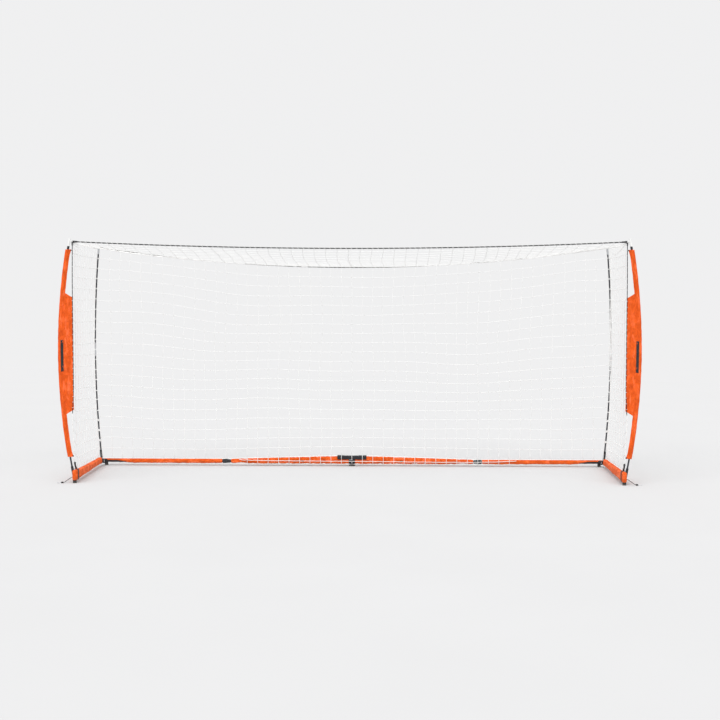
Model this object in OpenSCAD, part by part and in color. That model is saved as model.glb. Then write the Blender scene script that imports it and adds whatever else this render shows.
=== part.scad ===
// Portable bow-frame goal with a folding base.
// Front of the goal faces -Y, width runs along X, Z is up, the origin lies on the ground in the middle of the plan.

/* [Goal] */
// Width between the two front edges of the net
goal_w = 4880; // [4000:10:5200]
// Height of the net's front top corners
goal_h = 2150; // [1700:10:2400]
// Distance from the front poles back to the rear bar
goal_d = 1150; // [950:10:1180]
// Height of the net's rear top corners
rear_h = 2120; // [1600:10:2300]
// Sag of the front top rope at mid width
front_sag = 58; // [0:2:120]
// Sag of the rear top rope at mid width
rear_sag = 190; // [0:5:260]

/* [Base] */
// Side of the square steel tube
tube = 25; // [22:1:32]
// Wall of the square steel tube
tube_wall = 1.5; // [1.2:0.1:2.5]
// Height of the tube's centreline above the ground
tube_z = 44; // [42:1:60]
// Width of the padded covers
cover_w = 42; // [38:1:52]
// Height of the padded covers on the outer and side bars
cover_h = 42; // [38:1:52]
// Height that the inner covers swell to at the middle of the rear bar
cover_mid_h = 76; // [50:1:100]
// Length of bare tube left at each folding hinge
bare_end = 40; // [38:1:60]
// Height of the hood over each front socket
hood_top = 119; // [105:1:124]
// Height of the side covers at their rear ends
side_end_h = 66; // [44:1:80]

/* [Hinges] */
// Distance from the tube's centreline to a folding hinge's axis
hinge_off = 28; // [27:1:36]
// Radius of the eye round each hinge pin
eye_r = 9; // [8:0.5:12]
// Radius of each hinge pin
pin_r = 4; // [3:0.5:5]
// Thickness of the hinge plates
plate_t = 3; // [2:0.5:4]
// Gap between the ends of two folding tubes
end_gap = 4; // [2:1:8]

/* [Poles] */
// Radius of the front bow poles
bow_r = 7.5; // [5:0.5:8]
// How far the bow poles' ends stand outside the net's edge
bow_stand = 26; // [20:1:32]
// Rise of the front bow outside its own ends
bow_rise = 90; // [50:5:120]
// Radius of the rear poles
rear_r = 7; // [5:0.5:8]
// How far the rear poles' ends stand outside the net's edge
rear_stand = 8; // [8:1:14]
// Rise of the rear poles outside their own ends
rear_rise = 44; // [20:2:60]
// Outer radius of the pole sockets
socket_r = 12; // [11:0.5:15]

/* [Fabric] */
// Width of the sleeve over the front bow
sleeve_w = 44; // [34:1:60]
// Thickness of the sleeve over the front bow
sleeve_t = 26; // [24:1:36]
// Thickness of the net panels
net_t = 1; // [1:0.5:3]
// Radius of the net's border ropes
rope_r = 5; // [3:0.5:7]
// Width of the webbing straps
strap_w = 22; // [15:1:30]

/* [Hidden] */
$fn = 48;

// Plan of the base: the left half is drawn, and the right half is its mirror image.
front_over = 30;
plan_d = goal_d + front_over + hinge_off + eye_r;
bar_y = plan_d / 2 - hinge_off - eye_r;
pole_y = bar_y - goal_d;
front_y = -plan_d / 2;
side_x = -goal_w / 2;
quarter_x = side_x / 2;
corner_x = side_x + hinge_off;
corner_y = bar_y - hinge_off;

// Levels on the tubes.
tube_top = tube_z + tube / 2;
tube_bottom = tube_z - tube / 2;
plate_gap = 0.3;
joggle = plate_t + plate_gap;
cover_top = tube_z + cover_h / 2;
cover_bottom = tube_z - cover_h / 2;
cover_fit = 0.5;
net_gap = 4;
net_y = bar_y - 10;

// Fasteners.
pin_fit = 0.05;
rivet_r = 2.5;
rivet_head_r = 4.5;
rivet_head_t = 1.6;
rivet_x = 24;
pin_head_t = 2.6;
leaf_reach = bare_end - 4;

// Poles stand on straight plugs that start where their arcs end, in sockets that rise from the tubes.
arc_z = 150;
pole_fit = 0.3;
socket_floor = 8;
plug = arc_z - tube_top - socket_floor;
socket_mouth = 24;
section_gap = 0.5;

bow_half = (goal_h - arc_z) / 2;
bow_mid = (goal_h + arc_z) / 2;
bow_arc_r = (bow_half * bow_half + bow_rise * bow_rise) / (2 * bow_rise);
bow_tilt = asin(bow_half / bow_arc_r);
bow_x = side_x - bow_stand;

rear_top_z = rear_h - 10;
rear_half = (rear_top_z - arc_z) / 2;
rear_mid = (rear_top_z + arc_z) / 2;
rear_arc_r = (rear_half * rear_half + rear_rise * rear_rise) / (2 * rear_rise);
rear_tilt = asin(rear_half / rear_arc_r);
rear_x = side_x - rear_stand;

// Sleeve and its side panel.
sleeve_low = 228;
sleeve_high = goal_h - 75;
panel_low = 0.305 * goal_h;
panel_high = 0.768 * goal_h;
panel_slope = 40;
panel_t = 3;
sleeve_bore = 10.5;
cap_wall = 2.5;

// The black flap over the middle hinge, and the hood at the front end of each side cover.
flap_l = 280;
flap_drop = 31;
mid_top = cover_bottom + 2 + cover_mid_h;
hood_l = 58;
corner_plate_l = tube + hinge_off + 12;
slit_l = 260;
side_end_y = corner_y - bare_end;
side_end_top = cover_bottom + side_end_h;

// Rubber feet.
foot_w = 30;
foot_l = 30;
foot_fit = 0.5;
centre_foot_l = 60;

// Tether: the route of the left cord's centreline, from the side cover's outer face to its toggle.
tether_r = 2.5;
tether_route = [
    [0, 0, 50], [-6, 0, 50], [-12, -1, 48], [-17, -1, 45], [-22, -2, 41.5], [-27, -3, 38],
    [-32, -4, 34.5], [-37, -5, 31], [-42, -6, 27.5], [-47, -8, 24], [-52, -9, 20.5],
    [-57, -11, 17], [-62, -13, 13.5], [-67, -15, 10.5], [-72, -17, 8], [-78, -19, 7]
];
tether_x = side_x - cover_w / 2;
toggle_r = 7;
toggle_l = 22;
hook_r = 2;

function front_z(x) = goal_h - front_sag * (1 - pow(x / side_x, 2));
function rear_z(x) = rear_h - rear_sag * (1 - pow(x / side_x, 2));
function arc_x(z, stand_x, rise, mid, radius) =
    stand_x - rise + radius - sqrt(radius * radius - pow(z - mid, 2));
function bow_at(z) = arc_x(z, bow_x, bow_rise, bow_mid, bow_arc_r);
function steps(a, b, n) = [for (i = [0:n]) a + (b - a) * i / n];

module rounded(w, h, r) {
    square([w - 2 * r, h], center = true);
    square([w, h - 2 * r], center = true);
    for (sx = [-1, 1], sy = [-1, 1])
        translate([sx * (w / 2 - r), sy * (h / 2 - r)]) circle(r);
}

// A bar along X from x1 to x2, its outline centred on the tube's centreline.
module along_x(x1, x2, y, z) {
    translate([x1, y, z]) rotate([90, 0, 90]) linear_extrude(x2 - x1) children();
}

// A bar along Y from y1 to y2.
module along_y(y1, y2, x, z) {
    translate([x, y2, z]) rotate([90, 0, 0]) linear_extrude(y2 - y1) children();
}

// Sweeps an outline along part of a pole's arc, from height z1 to height z2.
module along_arc(z1, z2, x, y, rise, mid, radius) {
    t1 = asin((z1 - mid) / radius);
    t2 = asin((z2 - mid) / radius);
    translate([x - rise + radius, y, mid]) rotate([90, 0, 0]) rotate([0, 0, 180 - t2])
        rotate_extrude(angle = t2 - t1, $fn = 96) translate([radius, 0]) children();
}

module bow_arc(z1, z2) {
    along_arc(z1, z2, bow_x, pole_y, bow_rise, bow_mid, bow_arc_r) children();
}

module rear_arc(z1, z2) {
    along_arc(z1, z2, rear_x, bar_y, rear_rise, rear_mid, rear_arc_r) children();
}

// Local frame of a pole's foot: the spigot runs down its -Z.
module at_bow_foot() {
    translate([bow_x, pole_y, arc_z]) rotate([0, -bow_tilt, 0]) children();
}

module at_rear_foot() {
    translate([rear_x, bar_y, arc_z]) rotate([0, -rear_tilt, 0]) children();
}

module ring(outer, inner) {
    difference() {
        circle(outer);
        circle(inner);
    }
}

function cross3(a, b) = [
    a[1] * b[2] - a[2] * b[1], a[2] * b[0] - a[0] * b[2], a[0] * b[1] - a[1] * b[0]
];
function unit(v) = v / norm(v);
function tangent(p, i) = unit(p[min(i + 1, len(p) - 1)] - p[max(i - 1, 0)]);

// A round tube swept along a list of points.
module sweep(p, r, sides) {
    rings = [
        for (i = [0:len(p) - 1])
            let (t = tangent(p, i), u = unit(cross3([0, 0, 1], t)), v = cross3(t, u))
                for (k = [0:sides - 1])
                    p[i] + r * (cos(360 * k / sides) * u + sin(360 * k / sides) * v)
    ];
    last = (len(p) - 1) * sides;
    walls = [
        for (i = [0:len(p) - 2], k = [0:sides - 1])
            let (a = i * sides + k, b = i * sides + (k + 1) % sides)
                [a, a + sides, b + sides, b]
    ];
    caps = [[for (k = [0:sides - 1]) k], [for (k = [sides - 1:-1:0]) last + k]];
    polyhedron(points = rings, faces = concat(walls, caps));
}

// ---- Square tubes with their rivet holes ----

module tube_outline() {
    difference() {
        rounded(tube, tube, 3);
        rounded(tube - 2 * tube_wall, tube - 2 * tube_wall, 1.6);
    }
}

module rivet_hole(x, y) {
    translate([x, y, tube_z - tube]) cylinder(r = rivet_r + pin_fit, h = 2 * tube);
}

module rivet(x, y, stack) {
    shank = tube + 2 * stack;
    translate([x, y, tube_z]) {
        cylinder(r = rivet_r, h = shank, center = true);
        for (s = [-1, 1])
            translate([0, 0, s * (shank + rivet_head_t) / 2])
                cylinder(r = rivet_head_r, h = rivet_head_t, center = true);
    }
}

module outer_tube() {
    color("#26262a") difference() {
        along_x(side_x - tube / 2, quarter_x - end_gap / 2, bar_y, tube_z) tube_outline();
        rivet_hole(quarter_x - rivet_x, bar_y);
        rivet_hole(corner_x + rivet_x - 6, bar_y);
    }
}

module inner_tube() {
    color("#26262a") difference() {
        along_x(quarter_x + end_gap / 2, -end_gap / 2, bar_y, tube_z) tube_outline();
        rivet_hole(quarter_x + rivet_x, bar_y);
        rivet_hole(-rivet_x, bar_y);
    }
}

module side_tube() {
    color("#26262a") difference() {
        along_y(front_y + 6, corner_y - end_gap / 2, side_x, tube_z) tube_outline();
        rivet_hole(side_x, corner_y - rivet_x);
        rivet_hole(side_x, pole_y + rivet_x);
    }
}

// ---- Folding hinges: plates above and below the tube that reach out to a vertical pin ----
// Local frame: the tube comes from -X and ends near the origin, and the pin stands at side * hinge_off on Y.

module leaf_foot() {
    translate([-leaf_reach, -tube / 2]) square([leaf_reach - end_gap / 2, tube]);
}

module leaf_arm(side) {
    scale([1, side]) {
        polygon([
            [-leaf_reach + 8, tube / 2 - 4], [-end_gap / 2, tube / 2 - 4],
            [eye_r, hinge_off], [-0.7 * eye_r, hinge_off + 0.7 * eye_r]
        ]);
        translate([0, hinge_off]) circle(eye_r);
    }
}

module leaf_holes(side) {
    translate([0, side * hinge_off, 0]) cylinder(r = pin_r + pin_fit, h = 2 * tube_z);
    translate([-rivet_x, 0, 0]) cylinder(r = rivet_r + pin_fit, h = 2 * tube_z);
}

// Flush leaves lie on the tube; joggled leaves step over them.
module leaf(side, joggled) {
    lift = joggled ? joggle : 0;
    foot_t = plate_t + lift;
    difference() {
        for (s = [-1, 1]) {
            translate([0, 0, s > 0 ? tube_top : tube_bottom - foot_t])
                linear_extrude(foot_t) leaf_foot();
            translate([0, 0, s > 0 ? tube_top + lift : tube_bottom - foot_t])
                linear_extrude(plate_t) leaf_arm(side);
        }
        leaf_holes(side);
    }
}

module hinge_pin() {
    half = tube / 2 + joggle + plate_t + plate_gap;
    cylinder(r = pin_r, h = 2 * half, center = true);
    for (s = [-1, 1])
        translate([0, 0, s * (half + pin_head_t / 2)])
            cylinder(r = pin_r + 3, h = pin_head_t, center = true, $fn = s > 0 ? 48 : 6);
}

module inner_hinges(joggled_centre) {
    color("#1d1d20") {
        translate([quarter_x, bar_y, 0]) rotate([0, 0, 180]) leaf(-1, false);
        translate([0, bar_y, 0]) leaf(-1, joggled_centre);
    }
}

module outer_hinge() {
    color("#1d1d20") translate([quarter_x, bar_y, 0]) leaf(1, true);
}

module side_hinge() {
    color("#1d1d20") translate([side_x, corner_y, 0]) rotate([0, 0, 90]) leaf(-1, true);
}

module inner_fasteners(with_centre_pin) {
    color("#b9bcc0") {
        rivet(quarter_x + rivet_x, bar_y, plate_t);
        rivet(-rivet_x, bar_y, with_centre_pin ? plate_t : plate_t + joggle);
        translate([quarter_x, bar_y + hinge_off, tube_z]) hinge_pin();
        if (with_centre_pin) translate([0, bar_y - hinge_off, tube_z]) hinge_pin();
    }
}

module outer_fasteners() {
    color("#b9bcc0") {
        rivet(quarter_x - rivet_x, bar_y, plate_t + joggle);
        rivet(corner_x + rivet_x - 6, bar_y, plate_t);
        translate([corner_x, corner_y, tube_z]) hinge_pin();
    }
}

module side_fasteners() {
    color("#b9bcc0") {
        rivet(side_x, corner_y - rivet_x, plate_t + joggle);
        rivet(side_x, pole_y + rivet_x, plate_t);
    }
}

// ---- Corner bracket with the rear pole's socket ----

module corner_plate() {
    translate([side_x - tube / 2, bar_y - tube / 2]) square([corner_plate_l, tube]);
    translate([corner_x, corner_y]) circle(eye_r);
    polygon([
        [corner_x - 16, bar_y - tube / 2 + 4], [corner_x + 20, bar_y - tube / 2 + 4],
        [corner_x + eye_r, corner_y], [corner_x - eye_r, corner_y]
    ]);
}

// The socket's wall runs down past the tube's top, where its bracket cuts it off.
module socket_body() {
    deep = plug + 2 * socket_floor;
    translate([0, 0, -deep]) cylinder(r = socket_r, h = deep - socket_mouth);
}

module socket_bore(r) {
    translate([0, 0, -plug]) cylinder(r = r + pole_fit, h = plug);
}

module corner_bracket() {
    color("#1d1d20") difference() {
        union() {
            translate([0, 0, tube_top]) linear_extrude(plate_t) corner_plate();
            translate([0, 0, tube_bottom - plate_t]) linear_extrude(plate_t) corner_plate();
            intersection() {
                at_rear_foot() socket_body();
                translate([rear_x - 40, bar_y - 40, tube_top]) cube([80, 80, arc_z]);
            }
        }
        at_rear_foot() socket_bore(rear_r);
        translate([corner_x, corner_y, 0]) cylinder(r = pin_r + pin_fit, h = 2 * tube_z);
        rivet_hole(corner_x + rivet_x - 6, bar_y);
    }
}

module front_socket() {
    color("#1d1d20") difference() {
        union() {
            for (z = [tube_top, tube_bottom - plate_t])
                translate([side_x - tube / 2, pole_y - 18, z]) cube([tube, 54, plate_t]);
            intersection() {
                at_bow_foot() socket_body();
                translate([bow_x - 40, pole_y - 40, tube_top]) cube([80, 80, arc_z]);
            }
        }
        at_bow_foot() socket_bore(bow_r);
        rivet_hole(side_x, pole_y + rivet_x);
    }
}

// ---- Rubber feet ----

module rivet_pocket(x, y, top) {
    translate([x, y, top - rivet_head_t - foot_fit]) cylinder(r = rivet_head_r + foot_fit, h = plate_t);
}

module rear_foot() {
    top = tube_bottom - plate_t;
    x = corner_x + rivet_x - 6;
    color("#17171a") difference() {
        translate([x, bar_y, 0]) linear_extrude(top) rounded(foot_l, foot_w, 6);
        rivet_pocket(x, bar_y, top);
    }
}

module front_foot() {
    color("#17171a") translate([side_x, front_y + 6 + foot_l / 2, 0])
        linear_extrude(tube_bottom - plate_t) rounded(foot_w, foot_l, 6);
}

// The middle foot hangs from the left inner bar, and the right one folds away over its low half.
module centre_foot() {
    top = tube_bottom - plate_t;
    low_top = tube_bottom - plate_t - joggle - rivet_head_t - foot_fit;
    color("#17171a") difference() {
        translate([0, bar_y, 0]) linear_extrude(top) rounded(centre_foot_l, foot_w, 6);
        translate([-2, bar_y - foot_w, low_top]) cube([centre_foot_l, 2 * foot_w, top]);
        // the right inner hinge's arms pass below the left ones
        translate([-centre_foot_l, bar_y - foot_w - tube / 2 + 5, low_top]) cube([2 * centre_foot_l, foot_w, top]);
        rivet_pocket(-rivet_x, bar_y, top);
    }
}

// ---- Padded covers ----

module tube_room(w) {
    square([tube + 2 * w, tube + 2 * w], center = true);
}

module outer_cover() {
    x1 = side_x - tube / 2 + corner_plate_l + 3;
    x2 = quarter_x - bare_end;
    slit_x = x1 + slit_l;
    color("#f26a1e") difference() {
        along_x(x1, x2, bar_y, tube_z) rounded(cover_w, cover_h, 12);
        along_x(x1 - 1, x2 + 1, bar_y, tube_z) tube_room(cover_fit);
        // slit that leaves the black tube bare beside the corner
        translate([0, bar_y - tube / 2, 0]) rotate([90, 0, 0]) linear_extrude(cover_w)
            polygon([[x1 - 1, -1], [x1 + foot_l, -1], [slit_x, tube_z + 6], [x1 - 1, tube_z + 3]]);
        translate([x1 - 1, bar_y - cover_w, 0]) cube([foot_l, 2 * cover_w, tube_z]);
    }
}

module inner_cover() {
    x1 = quarter_x + bare_end;
    x2 = -bare_end;
    color("#f26a1e") difference() {
        hull() {
            along_x(x1, x1 + 1, bar_y, tube_z) rounded(cover_w, cover_h, 12);
            along_x(x2 - 1, x2, bar_y, mid_top - cover_mid_h / 2) rounded(cover_w, cover_mid_h, 12);
        }
        along_x(x1 - 1, x2 + 1, bar_y, tube_z) tube_room(cover_fit);
    }
}

// The hood stands over the socket at the front end, and the cover falls straight from it to the rear.
module side_cover() {
    y2 = side_end_y;
    room = tube + 2 * cover_fit;
    color("#f26a1e") difference() {
        union() {
            along_y(front_y, y2, side_x, tube_z) rounded(cover_w, cover_h, 12);
            translate([side_x - cover_w / 2 + 2, 0, 0]) rotate([90, 0, 90]) linear_extrude(cover_w - 4)
                polygon([
                    [front_y, tube_z], [front_y, hood_top - 8], [front_y + 8, hood_top],
                    [front_y + hood_l, hood_top], [y2 - 10, side_end_top],
                    [y2, side_end_top - 10], [y2, tube_z]
                ]);
        }
        along_y(front_y + 5, y2 + 1, side_x, tube_z) tube_room(cover_fit);
        // the socket, its plates and its rivet
        translate([side_x - room / 2, pole_y - 19, tube_bottom - plate_t - 1])
            cube([room, 56, tube + 2 * plate_t + 2]);
        at_bow_foot() translate([0, 0, -plug - 2 * socket_floor]) cylinder(r = socket_r + cover_fit, h = plug);
        translate([side_x, pole_y + rivet_x, 0]) cylinder(r = rivet_head_r + 1, h = tube_top + plate_t + 4);
        // the front foot
        translate([side_x - foot_w / 2 - 1, front_y + 4, -1]) cube([foot_w + 2, foot_l + 4, tube_bottom + 1]);
    }
}

// Black flap over the middle hinge.
module centre_flap() {
    t = 3;
    mid_z = mid_top - cover_mid_h / 2;
    w = cover_w + 2;
    h = cover_mid_h + 2;
    color("#2b2b2e") difference() {
        along_x(-flap_l / 2, flap_l / 2, bar_y, mid_z) rounded(w + 2 * t, h + 2 * t, 12 + t);
        along_x(-flap_l, flap_l, bar_y, mid_z) rounded(w, h, 12);
        translate([-flap_l, bar_y - cover_w, 0]) cube([2 * flap_l, 2 * cover_w, mid_top - flap_drop]);
    }
}

// ---- Poles ----

module pole_plug(r) {
    translate([0, 0, -plug + 1]) cylinder(r = r, h = plug - 1 - section_gap);
}

module bow_pole() {
    color("#18181b") {
        at_bow_foot() pole_plug(bow_r);
        bow_arc(arc_z, bow_mid - section_gap / 2) circle(bow_r);
        bow_arc(bow_mid + section_gap / 2, goal_h) circle(bow_r);
    }
}

module rear_pole() {
    color("#18181b") {
        at_rear_foot() pole_plug(rear_r);
        rear_arc(arc_z, rear_mid - section_gap / 2) circle(rear_r);
        rear_arc(rear_mid + section_gap / 2, rear_top_z - 12) circle(rear_r);
    }
}

// A collar that rests on the socket's mouth.
module collar(r) {
    translate([0, 0, -socket_mouth + 0.5]) linear_extrude(socket_mouth - 2) ring(r + 4, r + pin_fit);
}

module bow_fittings() {
    cap_low = goal_h - 45;
    color("#e9e9ea") {
        at_bow_foot() collar(bow_r);
        bow_arc(bow_mid - 60, bow_mid + 60) ring(bow_r + 2, bow_r + pin_fit);
        bow_arc(sleeve_high + 2, cap_low - 1) ring(bow_r + 3, bow_r + pin_fit);
        difference() {
            bow_arc(cap_low, goal_h + 22) circle(bow_r + cap_wall);
            bow_arc(cap_low - 1, goal_h + 1) circle(bow_r + pin_fit);
        }
        // ear that the net's corner loop hooks on
        translate([bow_at(goal_h) + bow_r + 1, pole_y - 3, goal_h - 16]) difference() {
            cube([bow_stand - bow_r - rope_r - 1, 6, 20]);
            translate([8, 7, 10]) rotate([90, 0, 0]) cylinder(r = 2.5, h = 8);
        }
    }
}

module rear_pole_fittings() {
    color("#c9ccd0") {
        at_rear_foot() collar(rear_r);
        rear_arc(rear_mid - 65, rear_mid + 65) ring(rear_r + 1.6, rear_r + pin_fit);
        difference() {
            rear_arc(rear_top_z - 60, rear_top_z) circle(rear_r + 2.5);
            rear_arc(rear_top_z - 61, rear_top_z - 11) circle(rear_r + pin_fit);
        }
    }
}

// ---- Sleeve over the bow, with the side panel that pulls the net's edge straight ----

module bow_sleeve() {
    edge = [for (z = steps(panel_low, panel_high, 12)) [bow_at(z), z]];
    color("#f26a1e") difference() {
        union() {
            bow_arc(sleeve_low, sleeve_high) rounded(sleeve_w, sleeve_t, 11);
            translate([0, pole_y + panel_t / 2, 0]) rotate([90, 0, 0]) linear_extrude(panel_t)
                polygon(concat(edge, [
                    [side_x - 4, panel_high - panel_slope], [side_x - 4, panel_low + panel_slope]
                ]));
        }
        bow_arc(sleeve_low - 1, sleeve_high + 1) circle(sleeve_bore);
    }
}

// ---- Net panels with their border ropes ----

module rear_net(x1, x2, low) {
    n = 6;
    top = [for (x = steps(x2, x1, n)) [x, rear_z(x) - 2 * rope_r]];
    color("#f1f1ee") translate([0, net_y + net_t / 2, 0]) rotate([90, 0, 0])
        linear_extrude(net_t) polygon(concat(low, top));
}

module outer_rear_net() {
    x1 = side_x + 4;
    x2 = quarter_x - 2;
    rear_net(x1, x2, [[x1, arc_z], [x1 + 60, cover_top + net_gap], [x2, cover_top + net_gap]]);
}

module inner_rear_net() {
    flap = flap_l / 2 + 6;
    x1 = quarter_x + 2;
    low = cover_top + 2 * net_gap;
    rear_net(x1, -2, [
        [x1, low], [quarter_x + bare_end, low], [-flap, mid_top + net_gap],
        [-flap + 2, mid_top + 12], [-2, mid_top + 12]
    ]);
}

// The roof runs between the front and the rear rope.
module roof_net(x1, x2) {
    xs = steps(x1, x2, 6);
    n = len(xs);
    points = [
        for (x = xs, s = [0, 1])
            each [
                [x, pole_y, front_z(x) - rope_r + (s - 0.5) * net_t],
                [x, net_y, rear_z(x) - rope_r + (s - 0.5) * net_t]
            ]
    ];
    // Both skins are split along the same diagonals, so that the sheet keeps its thickness.
    skins = [
        for (i = [0:n - 2], t = [[0, 4, 5], [0, 5, 1], [3, 7, 2], [7, 6, 2]])
            [for (k = t) 4 * i + k]
    ];
    rims = [
        for (i = [0:n - 2], q = [[1, 5, 7, 3], [2, 6, 4, 0]])
            [for (k = q) 4 * i + k]
    ];
    ends = [[0, 1, 3, 2], [for (k = [2, 3, 1, 0]) 4 * (n - 1) + k]];
    color("#f1f1ee") polyhedron(points = points, faces = concat(skins, rims, ends), convexity = 4);
    color("#1b1b1d") {
        sweep([for (x = xs) [x, pole_y, front_z(x) - rope_r]], rope_r, 10);
        sweep([for (x = xs) [x, net_y, rear_z(x) - rope_r]], rope_r - 1, 10);
    }
}

module outer_roof_net() {
    roof_net(side_x + 4, quarter_x - 2);
}

module inner_roof_net() {
    roof_net(quarter_x + 2, -2);
}

module side_net() {
    rear_in = net_y - 6;
    color("#f1f1ee") translate([side_x - net_t / 2, 0, 0]) rotate([90, 0, 90])
        linear_extrude(net_t) polygon([
            [pole_y + 4, arc_z + 45], [side_end_y, side_end_top + net_gap], [rear_in, arc_z],
            [rear_in, rear_h - 2 * rope_r], [pole_y + 4, goal_h - 2 * rope_r]
        ]);
    color("#1b1b1d") translate([side_x, pole_y - 1, arc_z + 45])
        cylinder(r = rope_r - 1, h = goal_h - arc_z - 45 - 2.2 * rope_r);
}

// ---- Corner strap: a loop round the cover and a tail up to the net's lower corner ----

module corner_strap() {
    t = 3;
    y1 = front_y + hood_l + 6;
    y2 = y1 + strap_w;
    loop_h = hood_top + 1 - cover_bottom;
    mid_z = cover_bottom + loop_h / 2;
    color("#1b1b1d") {
        difference() {
            along_y(y1, y2, side_x, mid_z) rounded(cover_w + 2 * t, loop_h + 2 * t, 9);
            along_y(y1 - 1, y2 + 1, side_x, mid_z) rounded(cover_w + 1, loop_h + 1, 6);
        }
        hull() {
            translate([side_x - t / 2, y1, hood_top + t]) cube([t, strap_w, 1]);
            translate([side_x - t / 2, pole_y + 2, arc_z + 12]) cube([t, 12, 12]);
        }
        // buckle
        translate([side_x - 5, pole_y - 4, arc_z + 20]) cube([10, 18, 18]);
    }
}

// ---- Ground tether: elastic cord, toggle and peg hook ----

module tether() {
    color("#141416") translate([tether_x, pole_y, 0]) sweep(tether_route, tether_r, 8);
}

module tether_fittings() {
    last = tether_route[len(tether_route) - 1];
    color("#9fa3a8") translate([tether_x + last[0], pole_y + last[1], last[2]])
        rotate([0, 0, 198]) {
            rotate([0, 90, 0]) cylinder(r = toggle_r, h = toggle_l);
            translate([toggle_l, 0, 0]) rotate([0, 90, 0]) cylinder(r = hook_r, h = 22);
            translate([toggle_l + 26, 0, 0]) rotate_extrude(angle = 360) translate([5, 0]) circle(hook_r);
        }
}

module mirrored() {
    mirror([1, 0, 0]) children();
}

inner_tube();  // left_inner_tube
inner_cover();  // left_inner_cover
inner_hinges(false);  // left_inner_hinges
inner_fasteners(true);  // left_inner_fasteners
inner_rear_net();  // left_inner_rear_net
inner_roof_net();  // left_inner_roof_net
centre_foot();
centre_flap();
mirrored() inner_tube();  // right_inner_tube
mirrored() inner_cover();  // right_inner_cover
mirrored() inner_hinges(true);  // right_inner_hinges
mirrored() inner_fasteners(false);  // right_inner_fasteners
mirrored() inner_rear_net();  // right_inner_rear_net
mirrored() inner_roof_net();  // right_inner_roof_net
outer_tube();  // left_outer_tube
outer_cover();  // left_outer_cover
outer_hinge();  // left_outer_hinge
corner_bracket();  // left_corner_bracket
outer_fasteners();  // left_outer_fasteners
rear_foot();  // left_rear_foot
rear_pole();  // left_rear_pole
rear_pole_fittings();  // left_rear_pole_fittings
outer_rear_net();  // left_outer_rear_net
outer_roof_net();  // left_outer_roof_net
mirrored() outer_tube();  // right_outer_tube
mirrored() outer_cover();  // right_outer_cover
mirrored() outer_hinge();  // right_outer_hinge
mirrored() corner_bracket();  // right_corner_bracket
mirrored() outer_fasteners();  // right_outer_fasteners
mirrored() rear_foot();  // right_rear_foot
mirrored() rear_pole();  // right_rear_pole
mirrored() rear_pole_fittings();  // right_rear_pole_fittings
mirrored() outer_rear_net();  // right_outer_rear_net
mirrored() outer_roof_net();  // right_outer_roof_net
side_tube();  // left_side_tube
side_cover();  // left_side_cover
side_hinge();  // left_side_hinge
front_socket();  // left_front_socket
side_fasteners();  // left_side_fasteners
front_foot();  // left_front_foot
bow_pole();  // left_bow_pole
bow_fittings();  // left_bow_fittings
bow_sleeve();  // left_bow_sleeve
side_net();  // left_side_net
corner_strap();  // left_corner_strap
tether();  // left_tether
tether_fittings();  // left_tether_fittings
mirrored() side_tube();  // right_side_tube
mirrored() side_cover();  // right_side_cover
mirrored() side_hinge();  // right_side_hinge
mirrored() front_socket();  // right_front_socket
mirrored() side_fasteners();  // right_side_fasteners
mirrored() front_foot();  // right_front_foot
mirrored() bow_pole();  // right_bow_pole
mirrored() bow_fittings();  // right_bow_fittings
mirrored() bow_sleeve();  // right_bow_sleeve
mirrored() side_net();  // right_side_net
mirrored() corner_strap();  // right_corner_strap
mirrored() tether();  // right_tether
mirrored() tether_fittings();  // right_tether_fittings
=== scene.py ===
"""Looks for a portable bow-frame goal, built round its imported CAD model.

Metres, +Z up, the goal's front faces -Y. Each left-hand piece has a mirrored twin on the right.
"""

import math

import bpy
import numpy as np
from mathutils import Matrix, Vector, noise


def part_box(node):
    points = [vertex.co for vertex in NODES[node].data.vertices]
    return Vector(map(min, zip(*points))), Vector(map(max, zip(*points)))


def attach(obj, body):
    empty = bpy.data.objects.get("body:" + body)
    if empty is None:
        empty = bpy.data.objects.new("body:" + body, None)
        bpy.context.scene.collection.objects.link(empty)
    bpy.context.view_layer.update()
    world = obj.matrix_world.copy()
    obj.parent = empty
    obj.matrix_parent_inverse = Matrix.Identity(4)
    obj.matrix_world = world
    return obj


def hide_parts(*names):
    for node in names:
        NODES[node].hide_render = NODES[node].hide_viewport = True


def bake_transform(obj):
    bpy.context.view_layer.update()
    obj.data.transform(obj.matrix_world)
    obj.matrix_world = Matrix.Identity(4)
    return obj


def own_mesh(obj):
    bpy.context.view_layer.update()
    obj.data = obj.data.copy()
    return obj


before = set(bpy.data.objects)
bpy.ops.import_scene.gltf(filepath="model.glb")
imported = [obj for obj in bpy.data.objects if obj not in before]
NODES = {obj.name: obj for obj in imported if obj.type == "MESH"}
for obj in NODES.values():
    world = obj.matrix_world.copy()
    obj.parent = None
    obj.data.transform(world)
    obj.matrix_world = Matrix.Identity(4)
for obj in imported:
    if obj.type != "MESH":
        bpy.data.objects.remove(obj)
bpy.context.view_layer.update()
SIDES = (("left", -1), ("right", 1))


def middle(node, axis):
    """Middle of a node's box along one axis."""
    low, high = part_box(node)
    return (low[axis] + high[axis]) / 2


# ---- Places, from the frame ----

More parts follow.
